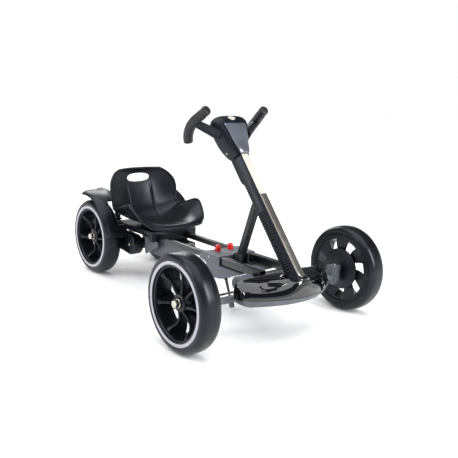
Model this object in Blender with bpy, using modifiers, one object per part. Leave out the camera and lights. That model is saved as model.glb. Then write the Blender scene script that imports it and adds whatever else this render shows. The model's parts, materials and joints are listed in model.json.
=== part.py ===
"""A battery-driven ride-on kart for children: telescopic twin-rail frame, steered front wheels,
bucket seat and a yoke on a leaning column. Metres, +Z up. The driver faces -Y, so left is +X."""

import math

import bmesh
import bpy
from mathutils import Matrix, Vector

# Overall layout
WHEELBASE = 0.750
FRONT_TRACK = 0.5825
REAR_TRACK = 0.270
GAP = 0.0003  # between pieces that sit against each other
RUNNING_GAP = 0.0005  # round anything that turns or slides

# Wheels
WHEEL_RADIUS = 0.125
TYRE_WIDTH = 0.0588
BEAD_RADIUS = 0.0938
RIM_WALL = 0.0055
RING_INNER = 0.0940
RING_OUTER = 0.1050
RING_THICKNESS = 0.0026
BOSS_RADIUS = 0.024
BOSS_INSET = 0.0154  # outer end of the boss, in from the tyre's outer face
SPOKES = 7
SPOKE_WIDTH = 0.015
SPOKE_DEPTH = 0.026
HUB_COVER_RADIUS = 0.040
WHEEL_STEPS = 36
AXLE_RADIUS = 0.006
NUT_FLATS = 0.019
NUT_LENGTH = 0.0138

# Frame
RAIL_SPACING = 0.1016  # between the centrelines of the two rails
RAIL_HEIGHT = 0.160
OUTER_TUBE = 0.020
TUBE_WALL = 0.0016
TELESCOPE_GAP = 0.0004
FRONT_TUBE_END = 0.244  # rear end of the outer tubes, behind the front axle
TUBE_OVERLAP = 0.144
BEAM_DEPTH = 0.022
BEAM_HEIGHT = 0.0115
BEAM_TOP = 0.112
KINGPIN_SPACING = 0.486
KNUCKLE_HEIGHT = 0.044
KNUCKLE_SIZE = 0.022
KINGPIN_RADIUS = 0.004
BRACKET_PLATE = 0.0045
KNUCKLE_ROOM = 0.004  # to the bracket's web, so that the corners and the arm swing past it
STEERING_ARM = 0.0225
ARM_SHIFT = 0.003  # inboard of the kingpin
TIE_ROD_RADIUS = 0.0032

# Front body
BODY_HALF_WIDTH = 0.159
BODY_FRONT = 0.120  # ahead of the front axle
BODY_REAR = 0.0165
BODY_SWEEP = 0.055  # how far the front edge falls back near its ends
SEAM_HEIGHT = 0.120
SEAM_GAP = 0.0015
BODY_TOP = 0.1655
BODY_BOTTOM = 0.099
SHELL = 0.003

# Steering column
COLUMN_TILT = math.radians(40.1)  # back from vertical
COLUMN_BASE = (-0.090, 0.163)  # a point on its axis: behind the front axle, above the ground
COLUMN_WIDTH = 0.044
COLUMN_FRONT = 0.0165
COLUMN_BACK = 0.0160
COLUMN_LENGTH = 0.3715
COLUMN_STEP = 0.286
STEP_DEPTH = 0.008
STRIP_WIDTH = 0.021
STRIP_THICKNESS = 0.0026
PANEL_START = 0.2425
SPIGOT_WIDTH = 0.030
SPIGOT_LENGTH = 0.050
LEVER_LENGTH = 0.020
LEVER_PIN = 0.0035
GRIP_RADIUS = 0.0130
ARM_RADIUS = 0.0155
ARM_END_RADIUS = 0.0110
# Points in the column frame: (out from the middle, towards the driver, up the column)
ARM_START = (0.0480, -0.0070, 0.4440)
ARM_END = (0.1080, -0.0060, 0.4850)
GRIP_ROUTE = (
    (0.1010, -0.0640, 0.4867),
    (0.1045, -0.0400, 0.4880),
    (0.1095, -0.0150, 0.4898),
    (0.1108, 0.0060, 0.4898),
    (0.1098, 0.0220, 0.4880),
    (0.1068, 0.0400, 0.4835),
    (0.1025, 0.0550, 0.4765),
    (0.0998, 0.0630, 0.4700),
)

# Rear frame: places are measured from the rear axle
SEAT_THICKNESS = 0.0055
SEAT_BASE_TOP = 0.1820
SEAT_BASE_HALF_WIDTH = 0.085
AXLE_PLATE = 0.003
FENDER_INNER = 0.095
FENDER_OUTER = 0.172
FENDER_WALL = 0.004
FENDER_NOTCH = 0.1335  # how far out the seat's waist needs room
BATTERY_WIDTH = 0.074
BATTERY_LENGTH = 0.154
BATTERY_HEIGHT = 0.048
BOX_WALL = 0.0025

# Controls
BUTTON_RADIUS = 0.009
BUTTON_SPACING = 0.046
BUTTON_PLACE = 0.214
PEDAL_RADIUS = 0.019
PEDAL_WIDTH = 0.050
PEDAL_PLACE = 0.097
PEDAL_CENTRE = (0.008, 0.141)  # behind the front axle, above the ground
PEDAL_PIVOT = (0.005, 0.1190)
STAND_PIVOT = (0.204, 0.094)
STAND_LENGTH = 0.0945
STAND_LEAN = math.atan2(0.033, 0.080)

for leftover in list(bpy.data.objects):
    bpy.data.objects.remove(leftover)

parts = bpy.data.collections.new("ride_on_kart")
cutters = bpy.data.collections.new("cutters")
bpy.context.scene.collection.children.link(parts)
bpy.context.scene.collection.children.link(cutters)


def finish(name, colour, roughness, metallic=0.0):
    """A plain material in one colour, for the sub-parts made of it."""
    made = bpy.data.materials.new(name)
    made.use_nodes = True
    shader = made.node_tree.nodes["Principled BSDF"]
    shader.inputs["Base Color"].default_value = (*colour, 1.0)
    shader.inputs["Roughness"].default_value = roughness
    shader.inputs["Metallic"].default_value = metallic
    return made


satin_black = finish("satin_black_plastic", (0.012, 0.013, 0.016), 0.45)
gloss_black = finish("gloss_black_plastic", (0.006, 0.006, 0.008), 0.12)
grey_plastic = finish("grey_plastic", (0.14, 0.15, 0.165), 0.5)
tyre_black = finish("tyre_black", (0.015, 0.015, 0.017), 0.6)
ring_grey = finish("pale_ring", (0.56, 0.55, 0.60), 0.35)
red_plastic = finish("red_plastic", (0.75, 0.01, 0.01), 0.3)
black_steel = finish("black_painted_steel", (0.02, 0.021, 0.024), 0.4, 0.3)
bright_steel = finish("bright_steel", (0.6, 0.6, 0.6), 0.3, 1.0)
silver_panel = finish("silver_panel", (0.72, 0.70, 0.66), 0.3)
soft_black = finish("soft_black_rubber", (0.01, 0.01, 0.012), 0.7)


def frame_empty(name, place, tilt=0.0):
    """An empty that holds the local frame of one group of pieces."""
    empty = bpy.data.objects.new(name, None)
    empty.location = place
    empty.rotation_euler = (tilt, 0.0, 0.0)
    bpy.context.scene.collection.objects.link(empty)
    return empty


front_frame = frame_empty("front_frame", (0.0, -WHEELBASE / 2, 0.0))
rear_frame = frame_empty("rear_frame", (0.0, WHEELBASE / 2, 0.0))
column_frame = frame_empty(
    "column_frame", (0.0, COLUMN_BASE[0] - WHEELBASE / 2, COLUMN_BASE[1]), -COLUMN_TILT
)


def place(name, mesh, material, parent, smooth=False):
    """A mesh as a named piece, or as a cutter when it has no material."""
    piece = bpy.data.objects.new(name, mesh)
    piece.parent = parent
    if material is None:
        cutters.objects.link(piece)
        piece.hide_render = True
        piece.display_type = "WIRE"
    else:
        parts.objects.link(piece)
        if not mesh.materials:
            mesh.materials.append(material)
    if smooth:
        mesh.shade_smooth()
        mesh.set_sharp_from_angle(angle=math.radians(35))
    return piece


def as_mesh(name, shape):
    """A mesh from a bmesh whose faces are turned outwards."""
    bmesh.ops.recalc_face_normals(shape, faces=shape.faces)
    mesh = bpy.data.meshes.new(name)
    shape.to_mesh(mesh)
    shape.free()
    return mesh


def add_box(shape, low, high):
    """A box between two corners."""
    size = [b - a for a, b in zip(low, high)]
    middle = [(a + b) / 2 for a, b in zip(low, high)]
    matrix = Matrix.Translation(middle) @ Matrix.Diagonal((*size, 1.0))
    bmesh.ops.create_cube(shape, size=1.0, matrix=matrix)


def add_rod(shape, start, end, radius, end_radius=None, segments=16):
    """A round rod or a cone between two points."""
    start = Vector(start)
    along = Vector(end) - start
    turn = along.to_track_quat("Z", "Y").to_matrix().to_4x4()
    matrix = Matrix.Translation(start + along / 2) @ turn
    bmesh.ops.create_cone(
        shape,
        cap_ends=True,
        segments=segments,
        radius1=radius,
        radius2=radius if end_radius is None else end_radius,
        depth=along.length,
        matrix=matrix,
    )


def box(name, low, high, material, parent, bevel=0.0):
    shape = bmesh.new()
    add_box(shape, low, high)
    piece = place(name, as_mesh(name, shape), material, parent)
    if bevel:
        soften(piece, bevel)
    return piece


def rod(name, start, end, radius, material, parent, end_radius=None, segments=16):
    shape = bmesh.new()
    add_rod(shape, start, end, radius, end_radius, segments)
    return place(name, as_mesh(name, shape), material, parent, smooth=material is not None)


def prism(name, outline, low, high, material, parent, bevel=0.0):
    """A flat outline in the YZ plane, extruded along X from low to high."""
    shape = bmesh.new()
    face = shape.faces.new([shape.verts.new((low, y, z)) for y, z in outline])
    grown = bmesh.ops.extrude_face_region(shape, geom=[face])
    moved = [item for item in grown["geom"] if isinstance(item, bmesh.types.BMVert)]
    bmesh.ops.translate(shape, verts=moved, vec=(high - low, 0.0, 0.0))
    piece = place(name, as_mesh(name, shape), material, parent)
    if bevel:
        soften(piece, bevel)
    return piece


def loft(name, rings, material, parent, closed=True, smooth=True):
    """A skin over rings of equally many points, capped at both ends when it is closed."""
    shape = bmesh.new()
    rows = [[shape.verts.new(point) for point in ring] for ring in rings]
    count = len(rows[0])
    for lower, upper in zip(rows, rows[1:]):
        for i in range(count):
            j = (i + 1) % count
            shape.faces.new((lower[i], lower[j], upper[j], upper[i]))
    shape.faces.new(rows[-1])
    if closed:
        shape.faces.new(rows[0])
    return place(name, as_mesh(name, shape), material, parent, smooth)


def soften(piece, width, segments=2):
    """Rounds the edges of a piece."""
    bevel = piece.modifiers.new("soften", "BEVEL")
    bevel.width = width
    bevel.segments = segments
    bevel.limit_method = "ANGLE"


def combine(piece, other, operation="DIFFERENCE"):
    """Cuts the other solid from a piece, or joins it on."""
    boolean = piece.modifiers.new(other.name, "BOOLEAN")
    boolean.operation = operation
    boolean.object = other


def turn_profile(name, profile, steps=WHEEL_STEPS):
    """A closed profile of (place along the axis, radius), turned about the X axis."""
    shape = bmesh.new()
    corners = [shape.verts.new((radius, 0.0, along)) for along, radius in profile]
    for first, second in zip(corners, corners[1:] + corners[:1]):
        shape.edges.new((first, second))
    mesh = bpy.data.meshes.new(name)
    shape.to_mesh(mesh)
    shape.free()
    piece = place(name, mesh, None, None)
    screw = piece.modifiers.new("turn", "SCREW")
    screw.steps = steps
    screw.render_steps = steps
    screw.use_merge_vertices = True
    screw.merge_threshold = 0.00001
    return piece


def settled(piece, to_x_axis=False):
    """The evaluated mesh of a piece, for other pieces to share. The piece itself is removed."""
    bpy.context.view_layer.update()
    graph = bpy.context.evaluated_depsgraph_get()
    mesh = bpy.data.meshes.new_from_object(piece.evaluated_get(graph))
    mesh.name = piece.name
    if to_x_axis:
        mesh.transform(Matrix.Rotation(math.radians(90), 4, "Y"))
    shape = bmesh.new()
    shape.from_mesh(mesh)
    bmesh.ops.remove_doubles(shape, verts=shape.verts, dist=0.00001)
    bmesh.ops.recalc_face_normals(shape, faces=shape.faces)
    shape.to_mesh(mesh)
    shape.free()
    bpy.data.objects.remove(piece)
    return mesh


def superellipse(half_x, low, high, power, count):
    """Points of a rounded rectangle in a plane: (x, other)."""
    points = []
    for i in range(count):
        angle = 2 * math.pi * (i + 0.5) / count
        c = math.cos(angle)
        s = math.sin(angle)
        x = half_x * math.copysign(abs(c) ** (2 / power), c)
        other = (low + high) / 2 + (high - low) / 2 * math.copysign(abs(s) ** (2 / power), s)
        points.append((x, other))
    return points


# Wheels: local +X points outboard


def tyre_mesh():
    half = TYRE_WIDTH / 2
    recess = half - RING_THICKNESS - GAP * 2
    profile = [
        (half - 0.0035, WHEEL_RADIUS - 0.0050),
        (0.0175, WHEEL_RADIUS - 0.0007),
        (0.0, WHEEL_RADIUS),
        (-0.0175, WHEEL_RADIUS - 0.0007),
        (0.0035 - half, WHEEL_RADIUS - 0.0050),
        (-half, WHEEL_RADIUS - 0.015),
        (0.001 - half, WHEEL_RADIUS - 0.025),
        (-recess, BEAD_RADIUS),
        (recess, BEAD_RADIUS),
        (recess, RING_OUTER + GAP),
        (half - 0.0003, RING_OUTER + GAP),
        (half - 0.0003, WHEEL_RADIUS - 0.0125),
    ]
    return settled(turn_profile("tyre", profile), to_x_axis=True)


def ring_mesh():
    outer = TYRE_WIDTH / 2 - 0.0003
    inner = outer - RING_THICKNESS
    profile = [(outer, RING_OUTER), (inner, RING_OUTER), (inner, RING_INNER), (outer, RING_INNER)]
    return settled(turn_profile("sidewall_ring", profile), to_x_axis=True)


def hub_mesh():
    half = TYRE_WIDTH / 2 - RING_THICKNESS - 3 * GAP
    rim = BEAD_RADIUS - GAP
    profile = [(half, rim), (-half, rim), (-half, rim - RIM_WALL), (half, rim - RIM_WALL)]
    rim_band = turn_profile("rim_band", profile)
    rim_band.rotation_euler = (0.0, math.radians(90), 0.0)
    boss_end = TYRE_WIDTH / 2 - BOSS_INSET
    boss_start = -half + 0.004
    spider = rod("spider", (-half, 0, 0), (boss_start, 0, 0), HUB_COVER_RADIUS, None, None, segments=28)
    boss = rod("boss", (-half + 0.001, 0, 0), (boss_end, 0, 0), BOSS_RADIUS, None, None, segments=20)
    combine(spider, boss, "UNION")
    helpers = [boss]
    for i in range(SPOKES):
        low = (boss_end - 0.004 - SPOKE_DEPTH, -SPOKE_WIDTH / 2, BOSS_RADIUS * 0.7)
        high = (boss_end - 0.004, SPOKE_WIDTH / 2, rim - RIM_WALL / 2)
        spoke = box(f"spoke_{i}", low, high, None, None)
        spoke.rotation_euler = (2 * math.pi * i / SPOKES, 0.0, 0.0)
        combine(spider, spoke, "UNION")
        helpers.append(spoke)
    combine(spider, rim_band, "UNION")
    bore = rod("hub_bore", (-0.1, 0, 0), (0.1, 0, 0), AXLE_RADIUS + RUNNING_GAP, None, None)
    combine(spider, bore)
    mesh = settled(spider)
    for helper in helpers + [rim_band, bore]:
        bpy.data.objects.remove(helper)
    return mesh


def nut_mesh():
    start = TYRE_WIDTH / 2 - BOSS_INSET + RUNNING_GAP
    shape = bmesh.new()
    add_rod(shape, (start + 0.002, 0, 0), (start + NUT_LENGTH, 0, 0), NUT_FLATS / math.sqrt(3), segments=6)
    nut = place("nut", as_mesh("nut", shape), None, None)
    washer = rod("washer", (start, 0, 0), (start + 0.0025, 0, 0), NUT_FLATS * 0.63, None, None, segments=20)
    thread = rod("thread", (start - 0.01, 0, 0), (start + 0.009, 0, 0), AXLE_RADIUS + GAP, None, None)
    combine(nut, washer, "UNION")
    combine(nut, thread)
    mesh = settled(nut)
    bpy.data.objects.remove(washer)
    bpy.data.objects.remove(thread)
    return mesh


def wheel(side, end, parent, track, meshes):
    """One wheel of four pieces; side is +1 on the driver's left."""
    label = f"{'left' if side > 0 else 'right'}_{end}"
    for kind, mesh, material in meshes:
        piece = place(f"{label}_{kind}", mesh, material, parent, smooth=True)
        piece.location = (side * track / 2, 0.0, WHEEL_RADIUS)
        piece.rotation_euler = (0.0, 0.0, 0.0 if side > 0 else math.pi)


wheel_pieces = [
    ("tyre", tyre_mesh(), tyre_black),
    ("hub", hub_mesh(), satin_black),
    ("sidewall_ring", ring_mesh(), ring_grey),
    ("axle_nut", nut_mesh(), bright_steel),
]
for side in (1, -1):
    wheel(side, "front", front_frame, FRONT_TRACK, wheel_pieces)
    wheel(side, "rear", rear_frame, REAR_TRACK, wheel_pieces)


# Front axle, knuckles and steering linkage: places are measured from the front axle

knuckle_low = WHEEL_RADIUS - KNUCKLE_HEIGHT * 0.78
knuckle_high = knuckle_low + KNUCKLE_HEIGHT
kingpin_x = KINGPIN_SPACING / 2
tie_rod_height = BEAM_TOP + 0.002
arm_top = tie_rod_height - TIE_ROD_RADIUS - RUNNING_GAP
axle_end = TYRE_WIDTH / 2 - BOSS_INSET + 0.008


def axle_beam():
    shape_low = BEAM_TOP - BEAM_HEIGHT
    beam_end = kingpin_x - KNUCKLE_SIZE / 2 - KNUCKLE_ROOM
    beam = box(
        "axle_beam",
        (-beam_end, -BEAM_DEPTH / 2, shape_low),
        (beam_end, BEAM_DEPTH / 2, BEAM_TOP),
        grey_plastic,
        front_frame,
    )
    plate_end = kingpin_x + KNUCKLE_SIZE / 2
    for side in (1, -1):
        wall = sorted((side * (beam_end - BRACKET_PLATE), side * beam_end))
        reach = sorted((side * (beam_end - BRACKET_PLATE), side * plate_end))
        upper = knuckle_high + RUNNING_GAP
        lower = knuckle_low - RUNNING_GAP
        pieces = [
            box("web", (wall[0], -0.012, lower - 0.001), (wall[1], 0.012, upper + 0.001), None, front_frame),
            box("upper", (reach[0], -0.012, upper), (reach[1], 0.012, upper + BRACKET_PLATE), None, front_frame),
            box("lower", (reach[0], -0.012, lower - BRACKET_PLATE), (reach[1], 0.012, lower), None, front_frame),
        ]
        for piece in pieces:
            combine(beam, piece, "UNION")
        hole = rod(
            "kingpin_hole",
            (side * kingpin_x, 0.0, 0.0),
            (side * kingpin_x, 0.0, 2 * WHEEL_RADIUS),
            KINGPIN_RADIUS + GAP,
            None,
            front_frame,
        )
        combine(beam, hole)
    for x in (PEDAL_PLACE - 0.0105, PEDAL_PLACE + 0.0105):
        ear_low = (-x - 0.002, PEDAL_PIVOT[0] - 0.005, BEAM_TOP - 0.001)
        ear_high = (-x + 0.002, PEDAL_PIVOT[0] + 0.0055, PEDAL_PIVOT[1] + 0.002)
        ear = box("ear", ear_low, ear_high, None, front_frame)
        combine(beam, ear, "UNION")


def knuckle(side):
    label = "left" if side > 0 else "right"
    x = side * kingpin_x
    half = KNUCKLE_SIZE / 2
    block = box(
        f"{label}_knuckle",
        (x - half, -half, knuckle_low),
        (x + half, half, knuckle_high),
        grey_plastic,
        front_frame,
    )
    stub = rod(
        "stub",
        (x + side * half * 0.5, 0.0, WHEEL_RADIUS),
        (side * (FRONT_TRACK / 2 + axle_end), 0.0, WHEEL_RADIUS),
        AXLE_RADIUS,
        None,
        front_frame,
    )
    arm_x = x - side * ARM_SHIFT
    arm = box(
        "arm",
        (arm_x - 0.005, half * 0.5, arm_top - 0.006),
        (arm_x + 0.005, STEERING_ARM + 0.007, arm_top),
        None,
        front_frame,
    )
    combine(block, stub, "UNION")
    combine(block, arm, "UNION")
    hole = rod("pin_hole", (x, 0, 0), (x, 0, 0.2), KINGPIN_RADIUS + RUNNING_GAP, None, front_frame)
    combine(block, hole)
    rod(
        f"{label}_kingpin",
        (x, 0.0, knuckle_low - BRACKET_PLATE - 0.002),
        (x, 0.0, knuckle_high + BRACKET_PLATE + 0.003),
        KINGPIN_RADIUS,
        bright_steel,
        front_frame,
    )


def tie_rod():
    end = kingpin_x - ARM_SHIFT
    y = STEERING_ARM
    height = tie_rod_height
    bar = rod("tie_rod", (-end, y, height), (end, y, height), TIE_ROD_RADIUS, bright_steel, front_frame)
    fork_front = COLUMN_BASE[0] - 0.020
    bridge_low = BEAM_TOP + RUNNING_GAP
    bridge_high = bridge_low + 0.0032
    half = LEVER_PIN + 2 * RUNNING_GAP + 0.003
    pieces = [
        box("bridge", (-half, fork_front, bridge_low), (half, y + 0.002, bridge_high), None, front_frame)
    ]
    for side in (1, -1):
        low, high = sorted((side * (half - 0.003), side * half))
        top = bridge_high + 0.010
        pieces.append(
            box("prong", (low, fork_front, bridge_high - 0.001), (high, fork_front + 0.022, top), None, front_frame)
        )
        eye = (side * end, y, arm_top + RUNNING_GAP)
        eye_top = (side * end, y, height + TIE_ROD_RADIUS + 0.001)
        pieces.append(rod("eye", eye, eye_top, 0.0065, None, front_frame))
    for piece in pieces:
        combine(bar, piece, "UNION")


axle_beam()
knuckle(1)
knuckle(-1)
tie_rod()


# Telescopic rails

outer_half = OUTER_TUBE / 2
inner_half = outer_half - TUBE_WALL - TELESCOPE_GAP
rail_x = RAIL_SPACING / 2
front_tube_start = -BODY_REAR + 0.001
inner_tube_start = FRONT_TUBE_END - TUBE_OVERLAP - WHEELBASE
inner_tube_end = 0.015

for side, label in ((1, "left"), (-1, "right")):
    x = side * rail_x
    outer = box(
        f"{label}_front_tube",
        (x - outer_half, front_tube_start, RAIL_HEIGHT - outer_half),
        (x + outer_half, FRONT_TUBE_END, RAIL_HEIGHT + outer_half),
        black_steel,
        front_frame,
    )
    bore_half = outer_half - TUBE_WALL
    bore = box(
        "tube_bore",
        (x - bore_half, -0.1, RAIL_HEIGHT - bore_half),
        (x + bore_half, 0.4, RAIL_HEIGHT + bore_half),
        None,
        front_frame,
    )
    combine(outer, bore)
    box(
        f"{label}_rear_tube",
        (x - inner_half, inner_tube_start, RAIL_HEIGHT - inner_half),
        (x + inner_half, inner_tube_end, RAIL_HEIGHT + inner_half),
        black_steel,
        rear_frame,
    )


# Clamp block with its two lock buttons, and the stand that hangs from it

block_half_width = rail_x + outer_half + 0.005
block_top = RAIL_HEIGHT + outer_half + 0.0018
block_front = 0.152
block_rear = FRONT_TUBE_END + 0.002
keel_top = RAIL_HEIGHT - outer_half - 0.0045


def clamp_block():
    outline = [
        (block_front, block_top),
        (block_rear - 0.014, block_top),
        (block_rear, RAIL_HEIGHT + 0.003),
        (block_rear - 0.002, RAIL_HEIGHT - 0.009),
        (block_rear - 0.032, RAIL_HEIGHT - 0.016),
        (block_rear - 0.044, RAIL_HEIGHT - 0.040),
        (block_rear - 0.060, RAIL_HEIGHT - 0.053),
        (block_front - 0.005, RAIL_HEIGHT - 0.050),
        (block_front - 0.052, RAIL_HEIGHT - 0.033),
        (block_front - 0.090, keel_top - 0.002),
        (block_front - 0.090, keel_top),
        (block_front, keel_top),
    ]
    block = prism("clamp_block", outline, -block_half_width, block_half_width, grey_plastic, front_frame)
    pivot_y, pivot_z = STAND_PIVOT
    for side in (1, -1):
        x = side * rail_x
        hole_half = outer_half + GAP
        hole = box(
            "tube_hole",
            (x - hole_half, 0.0, RAIL_HEIGHT - hole_half),
            (x + hole_half, FRONT_TUBE_END + GAP, RAIL_HEIGHT + hole_half),
            None,
            front_frame,
        )
        combine(block, hole)
        slide_half = inner_half + TELESCOPE_GAP
        mouth = box(
            "tube_mouth",
            (x - slide_half, FRONT_TUBE_END - 0.01, RAIL_HEIGHT - slide_half),
            (x + slide_half, block_rear + 0.1, RAIL_HEIGHT + slide_half),
            None,
            front_frame,
        )
        combine(block, mouth)
        well_x = side * BUTTON_SPACING / 2
        well = rod(
            "button_well",
            (well_x, BUTTON_PLACE, block_top - 0.011),
            (well_x, BUTTON_PLACE, block_top + 0.05),
            BUTTON_RADIUS + RUNNING_GAP,
            None,
            front_frame,
            segments=20,
        )
        combine(block, well)
        low, high = sorted((side * 0.0076, side * 0.0125))
        ear = box(
            "stand_ear",
            (low, pivot_y - 0.008, pivot_z - 0.006),
            (high, pivot_y + 0.008, keel_top - 0.020),
            None,
            front_frame,
        )
        combine(block, ear, "UNION")
    pivot_block = box(
        "stand_root",
        (-0.0125, pivot_y - 0.008, pivot_z + 0.0085),
        (0.0125, pivot_y + 0.008, keel_top - 0.003),
        None,
        front_frame,
    )
    combine(block, pivot_block, "UNION")


def lock_button(side):
    label = "left" if side > 0 else "right"
    x = side * BUTTON_SPACING / 2
    button = rod(
        f"{label}_lock_button",
        (x, BUTTON_PLACE, block_top - 0.006),
        (x, BUTTON_PLACE, block_top + 0.018),
        BUTTON_RADIUS,
        red_plastic,
        front_frame,
        segments=20,
    )
    soften(button, 0.003)


def stand():
    y, z = STAND_PIVOT
    lean = STAND_LEAN
    toward = Vector((0.0, -math.sin(lean), -math.cos(lean)))
    start = Vector((0.0, y, z))
    foot_top = start + toward * (STAND_LENGTH - 0.022)
    leg = rod("stand_leg", start, foot_top, 0.0042, black_steel, front_frame, end_radius=0.0034, segments=12)
    eye = rod("eye", (-0.0071, y, z), (0.0071, y, z), 0.0058, None, front_frame)
    combine(leg, eye, "UNION")
    foot = bmesh.new()
    add_box(foot, (-0.008, -0.006, -STAND_LENGTH), (0.008, 0.006, -STAND_LENGTH + 0.0217))
    piece = place("stand_foot", as_mesh("stand_foot", foot), grey_plastic, front_frame)
    piece.location = start
    piece.rotation_euler = (-lean, 0.0, 0.0)
    soften(piece, 0.004)


clamp_block()
lock_button(1)
lock_button(-1)
stand()


# Front body: a glossy cover over a grey tray


def body_outline(inset):
    """The plan of the body: a swept front edge, rounded ends and a straight back."""
    points = []
    ends = BODY_HALF_WIDTH - 0.009
    for i in range(15):
        x = ends * (2 * i / 14 - 1)
        points.append((x, -BODY_FRONT + BODY_SWEEP * (x / 0.14) ** 2))
    corner = [
        (BODY_HALF_WIDTH - 0.002, -0.045),
        (BODY_HALF_WIDTH, -0.032),
        (BODY_HALF_WIDTH - 0.004, -0.020),
        (BODY_HALF_WIDTH - 0.011, -BODY_REAR),
    ]
    points += corner
    points += [(x, -BODY_REAR) for x in (0.10, 0.05, 0.0, -0.05, -0.10)]
    points += [(-x, y) for x, y in reversed(corner)]
    middle = -(BODY_FRONT + BODY_REAR) / 2
    scale_x = 1 - inset / BODY_HALF_WIDTH
    scale_y = 1 - 2 * inset / (BODY_FRONT - BODY_REAR)
    return [(x * scale_x, middle + (y - middle) * scale_y) for x, y in points]


def body_shell(name, levels, material):
    rings = [[(x, y, z) for x, y in body_outline(inset)] for z, inset in levels]
    piece = loft(name, rings, material, front_frame, closed=False)
    wall = piece.modifiers.new("wall", "SOLIDIFY")
    wall.thickness = SHELL
    wall.offset = -1.0
    return piece


def front_body():
    cover = body_shell(
        "front_cover",
        [
            (SEAM_HEIGHT + GAP, 0.0),
            (SEAM_HEIGHT + 0.015, -0.0005),
            (SEAM_HEIGHT + 0.030, 0.001),
            (BODY_TOP - 0.005, 0.005),
            (BODY_TOP, 0.012),
        ],
        gloss_black,
    )
    tray = body_shell(
        "front_tray",
        [
            (SEAM_HEIGHT - SEAM_GAP, 0.0005),
            (SEAM_HEIGHT - 0.008, 0.003),
            (BODY_BOTTOM + 0.005, 0.011),
            (BODY_BOTTOM, 0.022),
        ],
        grey_plastic,
    )
    notch = box(
        "rear_notch",
        (-0.038, -0.040, BEAM_TOP - 0.001),
        (0.038, 0.010, BODY_TOP - SHELL - 0.004),
        None,
        front_frame,
    )
    spigot_room = box(
        "spigot_room",
        (-SPIGOT_WIDTH / 2 - RUNNING_GAP, -0.0096, -0.012),
        (SPIGOT_WIDTH / 2 + RUNNING_GAP, 0.0126, 0.06),
        None,
        column_frame,
    )
    combine(cover, notch)
    combine(cover, spigot_room)
    combine(tray, notch)


front_body()


# Column mount, column, strut: the column frame's +Z runs up the column, +Y towards its back


def column_mount():
    shelf_top = BODY_TOP - SHELL - 0.005
    shelf_low = shelf_top - 0.008
    mount = box(
        "column_mount",
        (-0.036, COLUMN_BASE[0] + 0.006, shelf_low),
        (0.036, 0.012, shelf_top),
        grey_plastic,
        front_frame,
    )
    for side in (1, -1):
        low, high = sorted((side * 0.031, side * 0.036))
        cheek = box("cheek", (low, -0.012, BEAM_TOP + GAP), (high, 0.012, shelf_low + 0.001), None, front_frame)
        combine(mount, cheek, "UNION")
    rail_low = RAIL_HEIGHT - outer_half - GAP
    saddle_half = rail_x + outer_half
    saddle = box("saddle", (-saddle_half, -0.012, rail_low - 0.005), (saddle_half, 0.012, rail_low), None, front_frame)
    combine(mount, saddle, "UNION")
    spigot = box(
        "spigot",
        (-SPIGOT_WIDTH / 2, -0.009, -0.012),
        (SPIGOT_WIDTH / 2, 0.012, SPIGOT_LENGTH),
        None,
        column_frame,
    )
    combine(mount, spigot, "UNION")
    bore = rod("shaft_bore", (0, 0, -0.1), (0, 0, 0.2), AXLE_RADIUS + RUNNING_GAP, None, column_frame)
    combine(mount, bore)


def column():
    outline = [
        (-COLUMN_FRONT, -0.06),
        (-COLUMN_FRONT, COLUMN_LENGTH),
        (COLUMN_BACK + STEP_DEPTH, COLUMN_LENGTH),
        (COLUMN_BACK + STEP_DEPTH, COLUMN_STEP + 0.018),
        (COLUMN_BACK, COLUMN_STEP),
        (COLUMN_BACK, -0.06),
    ]
    half = COLUMN_WIDTH / 2
    housing = prism("column_housing", outline, -half, half, satin_black, column_frame, bevel=0.004)
    below = box("below_body", (-0.1, -0.4, -0.1), (0.1, 0.2, BODY_TOP + RUNNING_GAP), None, front_frame)
    pocket = box(
        "spigot_pocket",
        (-SPIGOT_WIDTH / 2 - RUNNING_GAP, -0.0095, -0.1),
        (SPIGOT_WIDTH / 2 + RUNNING_GAP, 0.0125, SPIGOT_LENGTH + RUNNING_GAP),
        None,
        column_frame,
    )
    bore = rod("column_bore", (0, 0, -0.1), (0, 0, 0.5), AXLE_RADIUS + RUNNING_GAP, None, column_frame)
    for cutter in (below, pocket, bore):
        combine(housing, cutter)
    front = -COLUMN_FRONT - GAP
    strip_half = STRIP_WIDTH / 2
    box(
        "column_front_strip",
        (-strip_half, front - STRIP_THICKNESS, -0.008),
        (strip_half, front, PANEL_START - GAP),
        gloss_black,
        column_frame,
        bevel=0.0008,
    )
    box(
        "column_panel",
        (-strip_half, front - STRIP_THICKNESS, PANEL_START),
        (strip_half, front, COLUMN_LENGTH),
        silver_panel,
        column_frame,
        bevel=0.0005,
    )


def brace():
    foot = Vector((0.0, 0.1405, 0.158))
    top = Vector((0.0, 0.0785, 0.3265))
    shape = bmesh.new()
    add_box(shape, (-0.010, -0.009, 0.0), (0.010, 0.009, (top - foot).length))
    strut = place("brace_strut", as_mesh("brace_strut", shape), satin_black, front_frame)
    strut.location = foot
    strut.rotation_euler = (math.atan2(foot.y - top.y, top.z - foot.z), 0.0, 0.0)
    soften(strut, 0.0015)
    base_low = keel_top + GAP
    base_high = base_low + 0.003
    bracket = box(
        "strut_bracket",
        (-(rail_x - outer_half - GAP), 0.112, base_low),
        (rail_x - outer_half - GAP, block_front - GAP, base_high),
        grey_plastic,
        front_frame,
    )
    for side in (1, -1):
        low, high = sorted((side * 0.0105, side * 0.0145))
        ear = box("ear", (low, 0.118, base_high - 0.001), (high, block_front - GAP, 0.179), None, front_frame)
        combine(bracket, ear, "UNION")


column_mount()
column()
brace()


# Yoke: turns about the column's axis


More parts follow.
